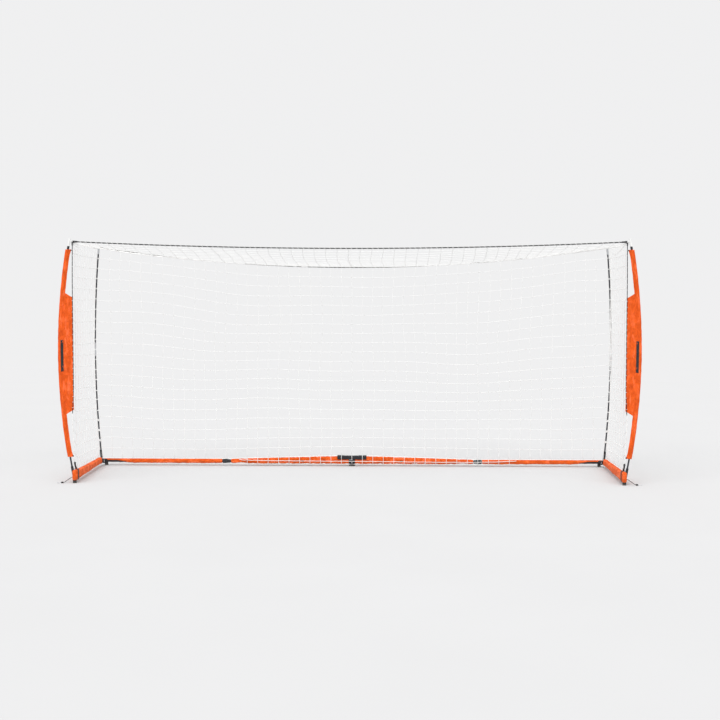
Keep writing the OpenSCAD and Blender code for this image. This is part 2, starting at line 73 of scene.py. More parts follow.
SIDE_X = middle("right_side_net", 0)
QUARTER_X = SIDE_X / 2
POLE_Y = middle("right_bow_pole", 1)
BAR_Y = middle("right_inner_tube", 1)
NET_Y = middle("right_inner_rear_net", 1)
FRONT_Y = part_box("right_side_cover")[0].y
TUBE_Z = middle("right_inner_tube", 2)
COVER_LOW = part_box("right_outer_cover")[0].z
COVER_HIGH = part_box("right_outer_cover")[1].z
COVER_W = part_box("right_outer_cover")[1].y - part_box("right_outer_cover")[0].y
MIDDLE_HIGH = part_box("right_inner_cover")[1].z
GOAL_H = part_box("right_outer_roof_net")[1].z
HOOD_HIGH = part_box("right_side_cover")[1].z
SLEEVE_LOW, SLEEVE_HIGH = 0.235, 2.075
HOOD_BACK = FRONT_Y + 0.058
SIDE_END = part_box("right_side_cover")[1].y
SIDE_END_TOP = COVER_LOW + 0.066
STRAP_Y = FRONT_Y + 0.075

# ---- Sizes of the soft goods ----

FRONT_SAG = 0.058
REAR_SAG = 0.190
REAR_DROP = 0.030
ROPE_R = 0.005
TWINE_R = 0.0021
CELLS_HALF = 24
CELLS_UP = 20
CELLS_DEEP = 12
BOW_STAND, BOW_RISE, BOW_LOW = 0.026, 0.090, 0.150
REAR_STAND, REAR_RISE = 0.008, 0.044
REAR_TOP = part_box("right_rear_pole_fittings")[1].z
SLEEVE_W, SLEEVE_T = 0.044, 0.026
PANEL_LOW, PANEL_HIGH, PANEL_SLOPE = 0.655, 1.651, 0.040
EDGE_SPLIT = 0.62
EDGE_Y = POLE_Y - 0.001
POLE_WRAP_R = 0.0087
STRAP_W = 0.022
LABEL_LOW, LABEL_HIGH = 0.995, 1.275
FLAP_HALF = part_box("centre_flap")[1].x


def bowed(z, stand, rise, low, high):
    """Distance from the middle plane to a pole's centreline at height z."""
    half, mid = (high - low) / 2, (high + low) / 2
    radius = (half * half + rise * rise) / (2 * rise)
    return SIDE_X + stand + rise - radius + math.sqrt(radius * radius - (z - mid) ** 2)


def bow_x(z):
    return bowed(max(z, BOW_LOW), BOW_STAND, BOW_RISE, BOW_LOW, GOAL_H)


def rear_pole_x(z):
    return bowed(max(z, BOW_LOW), REAR_STAND, REAR_RISE, BOW_LOW, REAR_TOP)


def front_z(x):
    """Height of the front top rope's upper side."""
    return GOAL_H - FRONT_SAG * (1 - (x / SIDE_X) ** 2)


def rear_z(x):
    """Height of the rear top rope's upper side."""
    return GOAL_H - REAR_DROP - REAR_SAG * (1 - (x / SIDE_X) ** 2)


def cover_top(x):
    """Height of the rear bar's covers."""
    inner_end = QUARTER_X - 0.04
    swell = np.clip(1 - np.abs(x) / inner_end, 0, 1)
    return COVER_HIGH + (MIDDLE_HIGH - COVER_HIGH) * swell


def smooth_step(t):
    t = np.clip(t, 0, 1)
    return t * t * (3 - 2 * t)


# ---- Materials ----


class Shader:
    """One material, made from plain calls. Sockets take a number, a tuple or another node's output."""

    def __init__(self, name, **constants):
        self.material = bpy.data.materials.new(name)
        self.material.use_nodes = True
        self.tree = self.material.node_tree
        self.surface = self.tree.nodes["Principled BSDF"]
        for socket, value in constants.items():
            self.surface.inputs[socket.replace("_", " ")].default_value = value
        coordinates = self.tree.nodes.new("ShaderNodeTexCoord")
        self.place = coordinates.outputs["Object"]
        self.cloth = coordinates.outputs["UV"]

    def node(self, kind, *inputs, **settings):
        made = self.tree.nodes.new("ShaderNode" + kind)
        for name, value in settings.items():
            setattr(made, name, value)
        for socket, value in inputs:
            if isinstance(value, bpy.types.NodeSocket):
                self.tree.links.new(value, made.inputs[socket])
            else:
                made.inputs[socket].default_value = value
        return made

    def calc(self, operation, first, second=0.0):
        return self.node("Math", (0, first), (1, second), operation=operation).outputs[0]

    def times(self, first, second):
        return self.calc("MULTIPLY", first, second)

    def plus(self, first, second):
        return self.calc("ADD", first, second)

    def minus(self, first, second):
        return self.calc("SUBTRACT", first, second)

    def stretch(self, vector, x, y, z):
        return self.node("Mapping", ("Vector", vector), ("Scale", (x, y, z))).outputs[0]

    def noise(self, vector, scale, detail=3.0, twist=0.0):
        made = self.node(
            "TexNoise", ("Vector", vector), ("Scale", scale), ("Detail", detail), ("Distortion", twist)
        )
        return made.outputs["Fac"]

    def parts(self, vector):
        return self.node("SeparateXYZ", ("Vector", vector)).outputs

    def remap(self, value, low, high, out_low=0.0, out_high=1.0):
        made = self.node(
            "MapRange", ("Value", value), ("From Min", low), ("From Max", high),
            ("To Min", out_low), ("To Max", out_high),
        )
        return made.outputs[0]

    def mix(self, factor, first, second):
        made = self.node("Mix", (0, factor), (6, first), (7, second), data_type="RGBA")
        return made.outputs[2]

    def ripple(self, value, pitch):
        """A wave from 0 to 1 along a coordinate."""
        turned = self.calc("SINE", self.times(value, 2 * math.pi / pitch))
        return self.remap(turned, -1.0, 1.0)

    def finish(self, colour=None, roughness=None, height=None, depth=0.0005, strength=0.6):
        for socket, value in (("Base Color", colour), ("Roughness", roughness)):
            if value is not None:
                self.tree.links.new(value, self.surface.inputs[socket])
        if height is not None:
            bump = self.node("Bump", ("Height", height), ("Distance", depth), ("Strength", strength))
            self.tree.links.new(bump.outputs[0], self.surface.inputs["Normal"])
        return self.material


def shade(colour, factor):
    return tuple(min(1.0, c * factor) for c in colour[:3]) + (1.0,)


def fold_shade_colour(colour, k):
    """Darker and more saturated: the colour of painted shade inside the cloth's folds and pressed creases.
    """
    return (colour[0] * k, colour[1] * k * 0.88, colour[2] * k * 0.6, 1)


def woven(name, colour, pitch, dirt=0.0, sheen=0.02, folds=0.0, grain=(1, 1, 1)):
    """Plain-woven cloth over UVs in metres, with soft shade changes, folds and fine creases; the weave and
    the folds carry painted shade and painted highlights.
    """
    s = Shader(name, Sheen_Weight=sheen, Sheen_Roughness=0.4, Specular_IOR_Level=0.25)
    u, v, _ = s.parts(s.cloth)
    weft, warp = s.ripple(u, pitch), s.ripple(v, pitch)
    over = s.times(weft, warp)
    under = s.times(s.minus(1.0, weft), s.minus(1.0, warp))
    weave = s.plus(over, under)
    patches = s.remap(s.noise(s.place, 9.0, 4.0), 0.3, 0.7)
    slubs = s.remap(s.noise(s.stretch(s.cloth, 900, 60, 1), 1.0), 0.35, 0.65)
    # painted shade in the weave's low spots and a painted highlight on its high spots, following the same
    # weave that shapes the bump
    threads = s.mix(weave, shade(colour, 0.78), shade(colour, 1.05))
    faded = s.mix(s.times(patches, 0.35), threads, shade(colour, 1.28))
    worn = s.mix(s.times(slubs, 0.16), faded, shade(colour, 0.6))
    # folds: broad soft hollows, and sharp creases where the cloth has been pressed together; they shape
    # the bump, and the colour gets painted shade in the hollows and creases and a painted highlight on the
    # rises
    stretched = s.stretch(s.place, *grain)
    hollows = s.noise(stretched, 17.0, 2.5, 0.8)
    ridge = s.calc("ABSOLUTE", s.minus(s.noise(stretched, 30.0, 2.0, 1.2), 0.5))
    pressed = s.remap(ridge, 0.0, 0.045, 1.0, 0.0)
    shadow = s.times(s.remap(hollows, 0.36, 0.60, 1.0, 0.0), folds)
    light = s.times(s.remap(hollows, 0.54, 0.68), folds)
    # painted highlight on the fold rises, then painted shade in the fold hollows and darker painted shade
    # along the pressed creases; from here on worn holds this painted light
    worn = s.mix(light, worn, tuple(min(1.0, 1.08 * c + 0.05) for c in colour[:3]) + (1,))
    worn = s.mix(shadow, worn, fold_shade_colour(colour, 0.70))
    worn = s.mix(s.times(pressed, 0.7 * folds), worn, fold_shade_colour(colour, 0.56))
    if dirt:
        low = s.remap(s.parts(s.place)[2], 0.02, 0.06, dirt, 0.0)
        grime = s.times(low, s.remap(s.noise(s.place, 35.0, 5.0), 0.35, 0.7))
        worn = s.mix(grime, worn, (0.16, 0.10, 0.06, 1))
    roughness = s.remap(s.noise(s.place, 60.0), 0.3, 0.7, 0.62, 0.82)
    creases = s.noise(s.stretch(s.place, 1, 1, 0.6), 70.0, 6.0)
    height = s.plus(s.times(weave, 0.12), s.times(creases, 0.8))
    height = s.plus(height, s.times(hollows, 2.4 * folds))
    height = s.minus(height, s.times(pressed, 0.5 * folds))
    return s.finish(worn, roughness, height, 0.0032, 0.7)


def twisted(name, colour, turn, dark=0.7, rough=0.6):
    """Twisted or braided cord over UVs: u in metres along it, v once round."""
    s = Shader(name, Sheen_Weight=0.1, Specular_IOR_Level=0.4)
    u, v, _ = s.parts(s.cloth)
    slant = s.plus(s.times(u, 1.0 / turn), s.times(v, 1.0))
    lay = s.ripple(slant, 0.5)
    soiled = s.remap(s.noise(s.place, 14.0, 4.0), 0.35, 0.75)
    # painted shade in the grooves between the twisted strands, following the same lay that shapes the bump
    strands = s.mix(lay, shade(colour, dark), colour)
    tinted = s.mix(s.times(soiled, 0.12), strands, shade(colour, 0.75))
    roughness = s.remap(s.noise(s.place, 90.0), 0.3, 0.7, rough, rough + 0.15)
    return s.finish(tinted, roughness, lay, 0.0006, 0.8)


def ribbed(name, colour):
    """Black webbing: ribs across its width and a soft edge."""
    s = Shader(name, Sheen_Weight=0.2, Specular_IOR_Level=0.3)
    u, v, _ = s.parts(s.cloth)
    ribs = s.times(s.ripple(v, 0.0016), s.ripple(u, 0.0030))
    speck = s.remap(s.noise(s.place, 400.0), 0.4, 0.7)
    # painted shade in the grooves between the ribs and a painted highlight on the rib tops, following the
    # same ribs that shape the bump
    base = s.mix(ribs, shade(colour, 0.6), shade(colour, 1.7))
    tinted = s.mix(s.times(speck, 0.25), base, (0.08, 0.08, 0.085, 1))
    roughness = s.remap(speck, 0.0, 1.0, 0.68, 0.85)
    return s.finish(tinted, roughness, ribs, 0.0005, 0.8)


def coated(name, colour, rough, scratch=0.5, metallic=0.0, worn=(0.30, 0.30, 0.31, 1)):
    """Powder coat or plating: fine orange peel, scuffs and a few bare scratches."""
    s = Shader(name, Metallic=metallic, Specular_IOR_Level=0.5)
    peel = s.noise(s.place, 700.0, 2.0)
    streaks = s.noise(s.stretch(s.place, 30, 260, 260), 1.0, 5.0)
    scuffs = s.remap(streaks, 0.62, 0.70)
    patches = s.noise(s.place, 12.0, 4.0)
    base = s.mix(s.remap(patches, 0.35, 0.7), shade(colour, 0.85), shade(colour, 1.25))
    tinted = s.mix(s.times(scuffs, scratch), base, worn)
    roughness = s.remap(patches, 0.3, 0.7, rough - 0.06, rough + 0.10)
    height = s.minus(peel, s.times(scuffs, 0.5))
    return s.finish(tinted, roughness, height, 0.0003, 0.35)


def moulded(name, colour, rough, grain=500.0, dust=0.0):
    """Moulded rubber or plastic, finely pitted, dusty where it is low."""
    s = Shader(name, Specular_IOR_Level=0.4)
    pits = s.noise(s.place, grain, 4.0)
    blotch = s.noise(s.place, 25.0, 3.0)
    base = s.mix(s.remap(blotch, 0.3, 0.7), shade(colour, 0.8), shade(colour, 1.3))
    if dust:
        low = s.remap(s.parts(s.place)[2], 0.0, 0.02, dust, 0.0)
        base = s.mix(s.times(low, s.remap(pits, 0.3, 0.7)), base, (0.35, 0.32, 0.28, 1))
    roughness = s.remap(blotch, 0.3, 0.7, rough - 0.05, rough + 0.08)
    return s.finish(base, roughness, pits, 0.0003, 0.4)


def pole_finish(name, colour):
    """Pultruded fibreglass: lengthwise fibre streaks under a thin gloss."""
    s = Shader(name, Coat_Weight=0.25, Coat_Roughness=0.25, Specular_IOR_Level=0.5)
    fibres = s.noise(s.stretch(s.place, 900, 900, 12), 1.0, 4.0)
    patches = s.noise(s.place, 6.0, 3.0)
    base = s.mix(s.remap(fibres, 0.35, 0.65), shade(colour, 0.7), shade(colour, 1.6))
    tinted = s.mix(s.remap(patches, 0.45, 0.75, 0.0, 0.25), base, (0.05, 0.05, 0.06, 1))
    roughness = s.remap(fibres, 0.3, 0.7, 0.38, 0.55)
    return s.finish(tinted, roughness, fibres, 0.0002, 0.4)


def banded(name, low_colour, high_colour, split, metallic, rough):
    """Fittings of one pole: dark below a height, pale above it, each with a drawn or moulded grain."""
    s = Shader(name, Metallic=metallic, Specular_IOR_Level=0.5)
    height = s.parts(s.place)[2]
    above = s.remap(height, split - 0.001, split + 0.001)
    grain = s.noise(s.stretch(s.place, 500, 500, 30), 1.0, 4.0)
    patches = s.noise(s.place, 30.0, 3.0)
    low = s.mix(grain, shade(low_colour, 0.7), shade(low_colour, 1.3))
    high = s.mix(grain, shade(high_colour, 0.82), shade(high_colour, 1.06))
    tinted = s.mix(above, low, high)
    roughness = s.remap(patches, 0.3, 0.7, rough - 0.07, rough + 0.09)
    return s.finish(tinted, roughness, grain, 0.0002, 0.3)


ORANGE = (0.86, 0.122, 0.009, 1)
ORANGE_SLEEVE = (0.86, 0.112, 0.006, 1)
WHITE = (0.94, 0.94, 0.925, 1)
BLACK = (0.016, 0.016, 0.018, 1)

MATERIALS = {
    "cover_fabric": woven("cover_fabric", ORANGE, 0.0011, dirt=0.35, folds=0.75, grain=(1.0, 1.0, 1.3)),
    "sleeve_fabric": woven("sleeve_fabric", ORANGE_SLEEVE, 0.0011, folds=0.75, grain=(1.6, 1.6, 0.45)),
    "flap_fabric": woven("flap_fabric", (0.022, 0.022, 0.026, 1), 0.0012, sheen=0.3),
    "net_twine": twisted("net_twine", WHITE, 0.006, dark=0.82),
    "black_rope": twisted("black_rope", BLACK, 0.012, dark=0.4),
    "cord_black": twisted("cord_black", (0.018, 0.018, 0.02, 1), 0.008, dark=0.5),
    "thread": twisted("thread", (0.80, 0.16, 0.03, 1), 0.002, dark=0.7),
    "thread_black": twisted("thread_black", (0.05, 0.05, 0.055, 1), 0.002, dark=0.7),
    "webbing": ribbed("webbing", (0.020, 0.020, 0.023, 1)),
    "steel_tube": coated("steel_tube", (0.020, 0.020, 0.023, 1), 0.42, scratch=0.35),
    "black_plate": coated("black_plate", (0.016, 0.016, 0.018, 1), 0.45, scratch=0.5),
    "plated_steel": coated(
        "plated_steel", (0.55, 0.56, 0.58, 1), 0.34, metallic=0.9, worn=(0.75, 0.76, 0.78, 1)
    ),
    "foot_rubber": moulded("foot_rubber", (0.016, 0.016, 0.017, 1), 0.78, dust=0.5),
    "dark_plastic": moulded("dark_plastic", (0.014, 0.014, 0.016, 1), 0.42, grain=900.0),
    "pole_black": pole_finish("pole_black", (0.010, 0.010, 0.016, 1)),
    "bow_fittings": banded(
        "bow_fittings", (0.012, 0.012, 0.016, 1), (0.80, 0.80, 0.79, 1), 2.104, 0.0, 0.36
    ),
    "rear_fittings": banded(
        "rear_fittings", (0.012, 0.012, 0.014, 1), (0.52, 0.53, 0.55, 1), 0.6, 0.55, 0.38
    ),
}


# ---- Mesh building ----


def points(x, y, z):
    """Points from three coordinates, each an array or a single number."""
    return np.stack(np.broadcast_arrays(x, y, z), -1)


def circle(count):
    """Angles evenly round a circle."""
    return 2 * np.pi * np.arange(count) / count


def run_along(line):
    """Distance along a line to each of its points."""
    return np.concatenate([[0], np.cumsum(np.linalg.norm(np.diff(line, axis=0), axis=1))])


def quad_coords(u1, u2, v1, v2):
    """UVs at the four corners of each quad."""
    corners = ((u1, v1), (u2, v1), (u2, v2), (u1, v2))
    return np.stack([np.stack(corner, 1) for corner in corners], 1).reshape(-1, 2)


def new_mesh(name, places, faces, material, coords):
    """A smooth mesh object; coords holds one (u, v) pair per face corner."""
    mesh = bpy.data.meshes.new(name)
    mesh.from_pydata([tuple(p) for p in np.asarray(places, float)], [], faces)
    layer = mesh.uv_layers.new(name="UVMap")
    layer.data.foreach_set("uv", np.asarray(coords, np.float32).ravel())
    mesh.polygons.foreach_set("use_smooth", np.full(len(mesh.polygons), True))
    mesh.materials.append(MATERIALS[material])
    mesh.update()
    made = bpy.data.objects.new(name, mesh)
    bpy.context.scene.collection.objects.link(made)
    return made


def surface(name, grid, material, around=False, caps=False):
    """Quads through grid[row][column], closed along each row if around, with UVs in metres."""
    grid = np.asarray(grid, float)
    rows, cols, _ = grid.shape
    spans = cols if around else cols - 1
    r, c = (a.ravel() for a in np.meshgrid(np.arange(rows - 1), np.arange(spans), indexing="ij"))
    n = (c + 1) % cols
    faces = np.stack([r * cols + c, r * cols + n, (r + 1) * cols + n, (r + 1) * cols + c], 1)
    ring = np.roll(grid, -1, 1) - grid
    u = np.concatenate([[0], np.cumsum(np.linalg.norm(ring, axis=2).mean(0))])
    v = np.concatenate([[0], np.cumsum(np.linalg.norm(np.diff(grid, axis=0), axis=2).mean(1))])
    coords = quad_coords(u[c], u[c + 1], v[r], v[r + 1])
    faces = faces.tolist()
    if caps:
        ends = [list(range(cols))[::-1], [(rows - 1) * cols + k for k in range(cols)]]
        flat = grid.reshape(-1, 3)
        for end in ends:
            faces.append(end)
            spread = flat[end]
            axes = np.argsort(np.ptp(spread, axis=0))[1:]
            coords = np.concatenate([coords, spread[:, axes]])
    return new_mesh(name, grid.reshape(-1, 3), faces, material, coords)


def ring_frames(line, reference):
    """Unit sideways vectors at each point of a line."""
    tangents = np.gradient(line, axis=0)
    tangents /= np.maximum(np.linalg.norm(tangents, axis=1), 1e-9)[:, None]
    if reference is None:
        spread = np.abs(tangents).sum(0)
        reference = np.eye(3)[np.argmin(spread)]
    side = np.cross(reference, tangents)
    side /= np.maximum(np.linalg.norm(side, axis=1), 1e-9)[:, None]
    return side, np.cross(tangents, side)


class Strands:
    """Collects round cords and knots into one mesh."""

    def __init__(self):
        self.points, self.faces, self.coords, self.count = [], [], [], 0

    def cord(self, line, radius, sides=6, reference=None, closed=False):
        line = np.asarray(line, float)
        if closed:
            wrapped = np.concatenate([line[-1:], line, line[:1]])
            side, up = (a[1:-1] for a in ring_frames(wrapped, reference))
        else:
            side, up = ring_frames(line, reference)
        radius = np.broadcast_to(np.asarray(radius, float), len(line))[:, None, None]
        turn = circle(sides)
        rings = line[:, None] + radius * (
            np.cos(turn)[None, :, None] * side[:, None] + np.sin(turn)[None, :, None] * up[:, None]
        )
        n = len(line)
        steps = n if closed else n - 1
        r, k = (a.ravel() for a in np.meshgrid(np.arange(steps), np.arange(sides), indexing="ij"))
        nr, nk = (r + 1) % n, (k + 1) % sides
        quads = np.stack([r * sides + k, r * sides + nk, nr * sides + nk, nr * sides + k], 1)
        along = run_along(line)
        along = np.append(along, along[-1] + np.linalg.norm(line[0] - line[-1]))
        self.faces += (quads + self.count).tolist()
        turned = quad_coords(k / sides, (k + 1) / sides, along[r], along[r + 1])
        self.coords.append(turned[:, ::-1])
        if not closed:
            first = [self.count + k for k in range(sides)][::-1]
            last = [self.count + (n - 1) * sides + k for k in range(sides)]
            self.faces += [first, last]
            self.coords.append(np.zeros((2 * sides, 2)))
        self.points.append(rings.reshape(-1, 3))
        self.count += n * sides
        return self

    def knots(self, places, radius, rng):
        """A small lumpy ball at each crossing."""
        g = (1 + 5**0.5) / 2
        ball = np.array(
            [[-1, g, 0], [1, g, 0], [-1, -g, 0], [1, -g, 0], [0, -1, g], [0, 1, g],
             [0, -1, -g], [0, 1, -g], [g, 0, -1], [g, 0, 1], [-g, 0, -1], [-g, 0, 1]], float
        ) / math.hypot(1, g)
        faces = np.array(
            [[0, 11, 5], [0, 5, 1], [0, 1, 7], [0, 7, 10], [0, 10, 11], [1, 5, 9], [5, 11, 4],
             [11, 10, 2], [10, 7, 6], [7, 1, 8], [3, 9, 4], [3, 4, 2], [3, 2, 6], [3, 6, 8],
             [3, 8, 9], [4, 9, 5], [2, 4, 11], [6, 2, 10], [8, 6, 7], [9, 8, 1]]
        )
        for place in places:
            lump = ball * radius * rng.uniform(0.8, 1.25, (12, 1))
            self.points.append(lump + place)
            self.faces += (faces + self.count).tolist()
            self.coords.append(np.tile([[0, 0], [0.002, 0.3], [0.004, 0.6]], (20, 1)))
            self.count += 12
        return self

    def build(self, name, material):
        return new_mesh(
            name, np.concatenate(self.points), self.faces, material, np.concatenate(self.coords)
        )


def settle(made, body, slot, *replaced):
    """Rides a finished piece on its body and hides the CAD parts it stands for. Its slot is not used."""
    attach(made, body)
    if replaced:
        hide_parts(*replaced)
    return made


def thicken(made, thickness):
    """Gives a single layer of cloth its thickness, half to each side."""
    skin = made.modifiers.new("cloth thickness", "SOLIDIFY")
    skin.thickness = thickness
    skin.offset = 0.0


def fair(control, steps):
    """Catmull-Rom line through control points."""
    p = np.asarray(control, float)
    padded = np.concatenate([[2 * p[0] - p[1]], p, [2 * p[-1] - p[-2]]])
    t = (np.arange(steps) / steps)[:, None]
    out = []
    for i in range(len(p) - 1):
        a, b, c, d = padded[i : i + 4]
        out.append(
            0.5 * (2 * b + (c - a) * t + (2 * a - 5 * b + 4 * c - d) * t**2
                   + (3 * b - a - 3 * c + d) * t**3)
        )
    return np.concatenate(out + [p[-1:]])


def waves(a, b, seed, count=7, low=0.8, high=5.0):
    """A smooth, repeatable field from -1 to 1 over two coordinates in metres."""
    rng = np.random.default_rng(seed)
    total = np.zeros(np.broadcast(a, b).shape)
    for _ in range(count):
        fa, fb = rng.uniform(low, high, 2) * rng.choice([-1, 1], 2)
        total += np.sin(fa * a + fb * b + rng.uniform(0, 2 * math.pi)) / count**0.5
    return total


# ---- Camera ----

camera_data = bpy.data.cameras.new("camera")
camera_data.lens = 68.465
camera_data.sensor_width = 36.0
camera_data.clip_end = 200.0
camera = bpy.data.objects.new("camera", camera_data)
bpy.context.scene.collection.objects.link(camera)
HEADING, PITCH, ROLL = math.radians(1.156), math.radians(3.580), math.radians(0.071)
camera.matrix_world = (
    Matrix.Translation((0.344, POLE_Y - 12.067, 1.859))
    @ Matrix.Rotation(HEADING, 4, "Z")
    @ Matrix.Rotation(math.pi / 2 - PITCH, 4, "X")
    @ Matrix.Rotation(ROLL, 4, "Z")
)
bpy.context.scene.camera = camera


# ---- Ground tethers ----

TETHER_START = (-(SIDE_X + COVER_W / 2), POLE_Y, 0.0)
TETHER_ROUTE = (
    (0, 0, 0.050), (-0.006, 0, 0.050), (-0.012, -0.001, 0.048), (-0.017, -0.001, 0.045),
    (-0.022, -0.002, 0.0415), (-0.027, -0.003, 0.038), (-0.032, -0.004, 0.0345),
    (-0.037, -0.005, 0.031), (-0.042, -0.006, 0.0275), (-0.047, -0.008, 0.024),
    (-0.052, -0.009, 0.0205), (-0.057, -0.011, 0.017), (-0.062, -0.013, 0.0135),
    (-0.067, -0.015, 0.0105), (-0.072, -0.017, 0.008), (-0.078, -0.019, 0.007),
)
TETHER_R = 0.0025
HOOK_TURN = math.radians(198)


def lathe(name, profile, material, turns=28):
    """A turned piece along +X from (x, radius) pairs."""
    rings = [[(x, r * math.cos(a), r * math.sin(a)) for a in circle(turns)] for x, r in profile]
    return surface(name, rings, material, around=True, caps=True)


def place(made, matrix):
    made.data.transform(matrix)
    if matrix.is_negative:
        made.data.flip_normals()
    return made


def tether(name, sign):
    route = np.array(TETHER_ROUTE) + TETHER_START
    route[:, 0] *= -sign
    cord = Strands().cord(fair(route, 2), TETHER_R, 12).build(f"{name}_tether_cord", "cord_black")
    settle(cord, f"{name}_side", "cord_black", f"{name}_tether")
    flip = Matrix.Diagonal((-sign, 1, 1, 1))
    end = Vector(TETHER_ROUTE[-1]) + Vector(TETHER_START)
    seat = flip @ Matrix.Translation(end) @ Matrix.Rotation(HOOK_TURN, 4, "Z")
    barrel = [
        (0, 0.0030), (0.0004, 0.0052), (0.0016, 0.0064), (0.004, 0.0066), (0.0048, 0.0060),
        (0.0056, 0.0066), (0.0095, 0.0068), (0.0103, 0.0061), (0.0111, 0.0068), (0.016, 0.0067),
        (0.0168, 0.0060), (0.0176, 0.0066), (0.0205, 0.0062), (0.0218, 0.0048), (0.022, 0.0026),
    ]
    toggle = place(lathe(f"{name}_tether_toggle", barrel, "dark_plastic"), seat)
    settle(toggle, f"{name}_side", "fitting_dark", f"{name}_tether_fittings")
    bend = [(0.021, 0, 0), (0.030, 0, 0), (0.038, 0, 0), (0.0425, 0.0008, 0)]
    loop = [
        (0.048 - 0.005 * math.cos(a), 0.005 * math.sin(a), 0) for a in np.linspace(0.35, 6.0, 16)
    ]
    hook = Strands().cord(fair(bend + loop, 3), 0.0018, 10, (0, 0, 1)).build(
        f"{name}_tether_hook", "plated_steel"
    )
    settle(place(hook, seat), f"{name}_side", "fitting_dark", f"{name}_tether_fittings")


for name, sign in SIDES:
    tether(name, sign)


# ---- Net panels of real twine ----


def woven_panel(crossings, seed, slack=0.0016, steps=3, skip_last=False):
    """Twine through a grid of crossings[column][row], with knots and slack between them."""
    rng = np.random.default_rng(seed)
    strands = Strands()
    upright = crossings[:-1] if skip_last else crossings
    for lines in (upright, crossings.swapaxes(0, 1)):
        for line in lines:
            path = fair(line, steps)
            sag = np.abs(np.sin(np.linspace(0, (len(line) - 1) * math.pi, len(path))))
            drift = rng.normal(0, slack, (len(line), 3))
            path += sag[:, None] * fair(drift, steps)
            strands.cord(path, TWINE_R, 6)
    return strands.knots(upright[:, 1:-1].reshape(-1, 3), TWINE_R * 1.45, rng)


def rear_crossings(x, rows):
    """Crossings of the rear net at column positions x."""
    v = np.linspace(0, 1, rows)[None, :]
    x = np.asarray(x)[:, None]
    low = cover_top(x) + 0.004
    high = rear_z(x) - 1.6 * ROPE_R
    edge = np.clip((SIDE_X - 0.004 - np.abs(x)) / 0.25, 0, 1)
    free = np.sin(np.pi * v) ** 0.6 * edge
    z = low + (high - low) * v
    pull = np.exp(-((SIDE_X - np.abs(x)) ** 2) / 0.5 - (1 - v) ** 2 / 0.08)
    z = z + free * (0.016 * waves(x, z, 11) + 0.05 * pull)
    wide = x + free * (0.013 * waves(x, z, 12) + 0.03 * pull * np.sign(x)) + 0 * v
    deep = NET_Y + free * (0.022 * waves(x, z, 13, low=0.6, high=3.0) + 0.004)
    # the last column lies along the inner side of the rear pole
    pole = np.vectorize(rear_pole_x)(z)
    near = np.clip((np.abs(x) - (SIDE_X - 0.11)) / 0.11, 0, 1) ** 2
    wide = wide + np.sign(x) * near * (pole - 0.012 - SIDE_X)
    return points(wide, deep, z)


def roof_crossings(x, rows):
    v = np.linspace(0, 1, rows)[None, :]
    x = np.asarray(x)[:, None]
    y = POLE_Y + (NET_Y - POLE_Y) * v
    front, rear = front_z(x) - ROPE_R, rear_z(x) - ROPE_R
    free = np.sin(np.pi * v) ** 0.7
    z = front + (rear - front) * v - free * (0.030 + 0.010 * waves(x, y, 21))
    wide = x + free * 0.014 * waves(x, y, 22)
    y = y + free * 0.014 * waves(x, y, 23)
    return points(wide, y, z)


def side_cover_top(y):
    """Height of a side bar's cover: a hood over the socket that falls straight to the rear end."""
    return np.interp(y, [HOOD_BACK, SIDE_END], [HOOD_HIGH, SIDE_END_TOP])


def side_crossings(sign, columns, rows):
    """Crossings of a side net, whose rear edge is drawn round the outside of the rear pole."""
    y = np.linspace(POLE_Y + 0.002, BAR_Y, columns)[:, None]
    v = np.linspace(0, 1, rows)[None, :]
    low = side_cover_top(y) + 0.004 + np.interp(y, [POLE_Y, HOOD_BACK + 0.03], [0.072, 0.0])
    high = np.interp(y, [POLE_Y, NET_Y], [GOAL_H - 0.012, GOAL_H - REAR_DROP - 0.012])
    free = np.sin(np.pi * v) ** 0.6 * np.sin(np.pi * np.clip((y - POLE_Y) / (BAR_Y - POLE_Y), 0, 1)) ** 0.5
    z = low + (high - low) * v + free * 0.010 * waves(y, v * 2, 31)
    near = np.clip((y - (BAR_Y - 0.34)) / 0.34, 0, 1) ** 1.5
    bulge = np.vectorize(rear_pole_x)(z) + 0.011 - SIDE_X
    drawn = np.clip(1 - (y - POLE_Y) / 0.2, 0, 1) ** 1.5 * (edge_x(z) - SIDE_X)
    wide = sign * (SIDE_X + near * bulge + drawn) + free * 0.006 * waves(y, v * 2, 32)
    deep = y + free * 0.006 * waves(y, v * 2, 33)
    return points(wide, deep, z)


def edge_x(z):
    """Distance from the middle plane to the side net's front edge, drawn outwards below the panel."""
    return SIDE_X + 0.004 * smooth_step((GOAL_H - z) / 0.4) + 0.012 * np.exp(-(((z - 0.56) / 0.17) ** 2))


PANELS = {
    "left_outer": (-SIDE_X + 0.003, -QUARTER_X),
    "left_inner": (-QUARTER_X, 0.0),
    "right_inner": (0.0, QUARTER_X),
    "right_outer": (QUARTER_X, SIDE_X - 0.003),
}
DROOP_MIDDLE, DROOP_HALF, DROOP_SHARE = 0.25, 1.35, 0.62


def droop_share(x):
    """How far down the covers the net's hem rope hangs, from 0 at its ends."""
    t = np.clip(1 - ((x - DROOP_MIDDLE) / DROOP_HALF) ** 2, 0, 1)
    return DROOP_SHARE * np.sqrt(t)


def cover_front(x):
    """Front face of what covers the rear bar, with room for the twine."""
    flap = np.abs(x) < FLAP_HALF + 0.01
    return BAR_Y - COVER_W / 2 - np.where(flap, 0.0075, 0.0045)


def droop(x):
    """One strand that hangs over the covers' front face, from the net's foot to under the bar."""
    top, front = cover_top(x), cover_front(x)
    return fair(
        [(x, NET_Y, top + 0.005), (x, NET_Y - 0.006, top + 0.006), (x, front + 0.002, top - 0.002),
         (x, front, top - 0.018), (x, front, (top + COVER_LOW) / 2), (x, front + 0.001, COVER_LOW + 0.008),
         (x, front + 0.006, COVER_LOW - 0.003), (x, front + 0.016, COVER_LOW - 0.005)], 3
    )


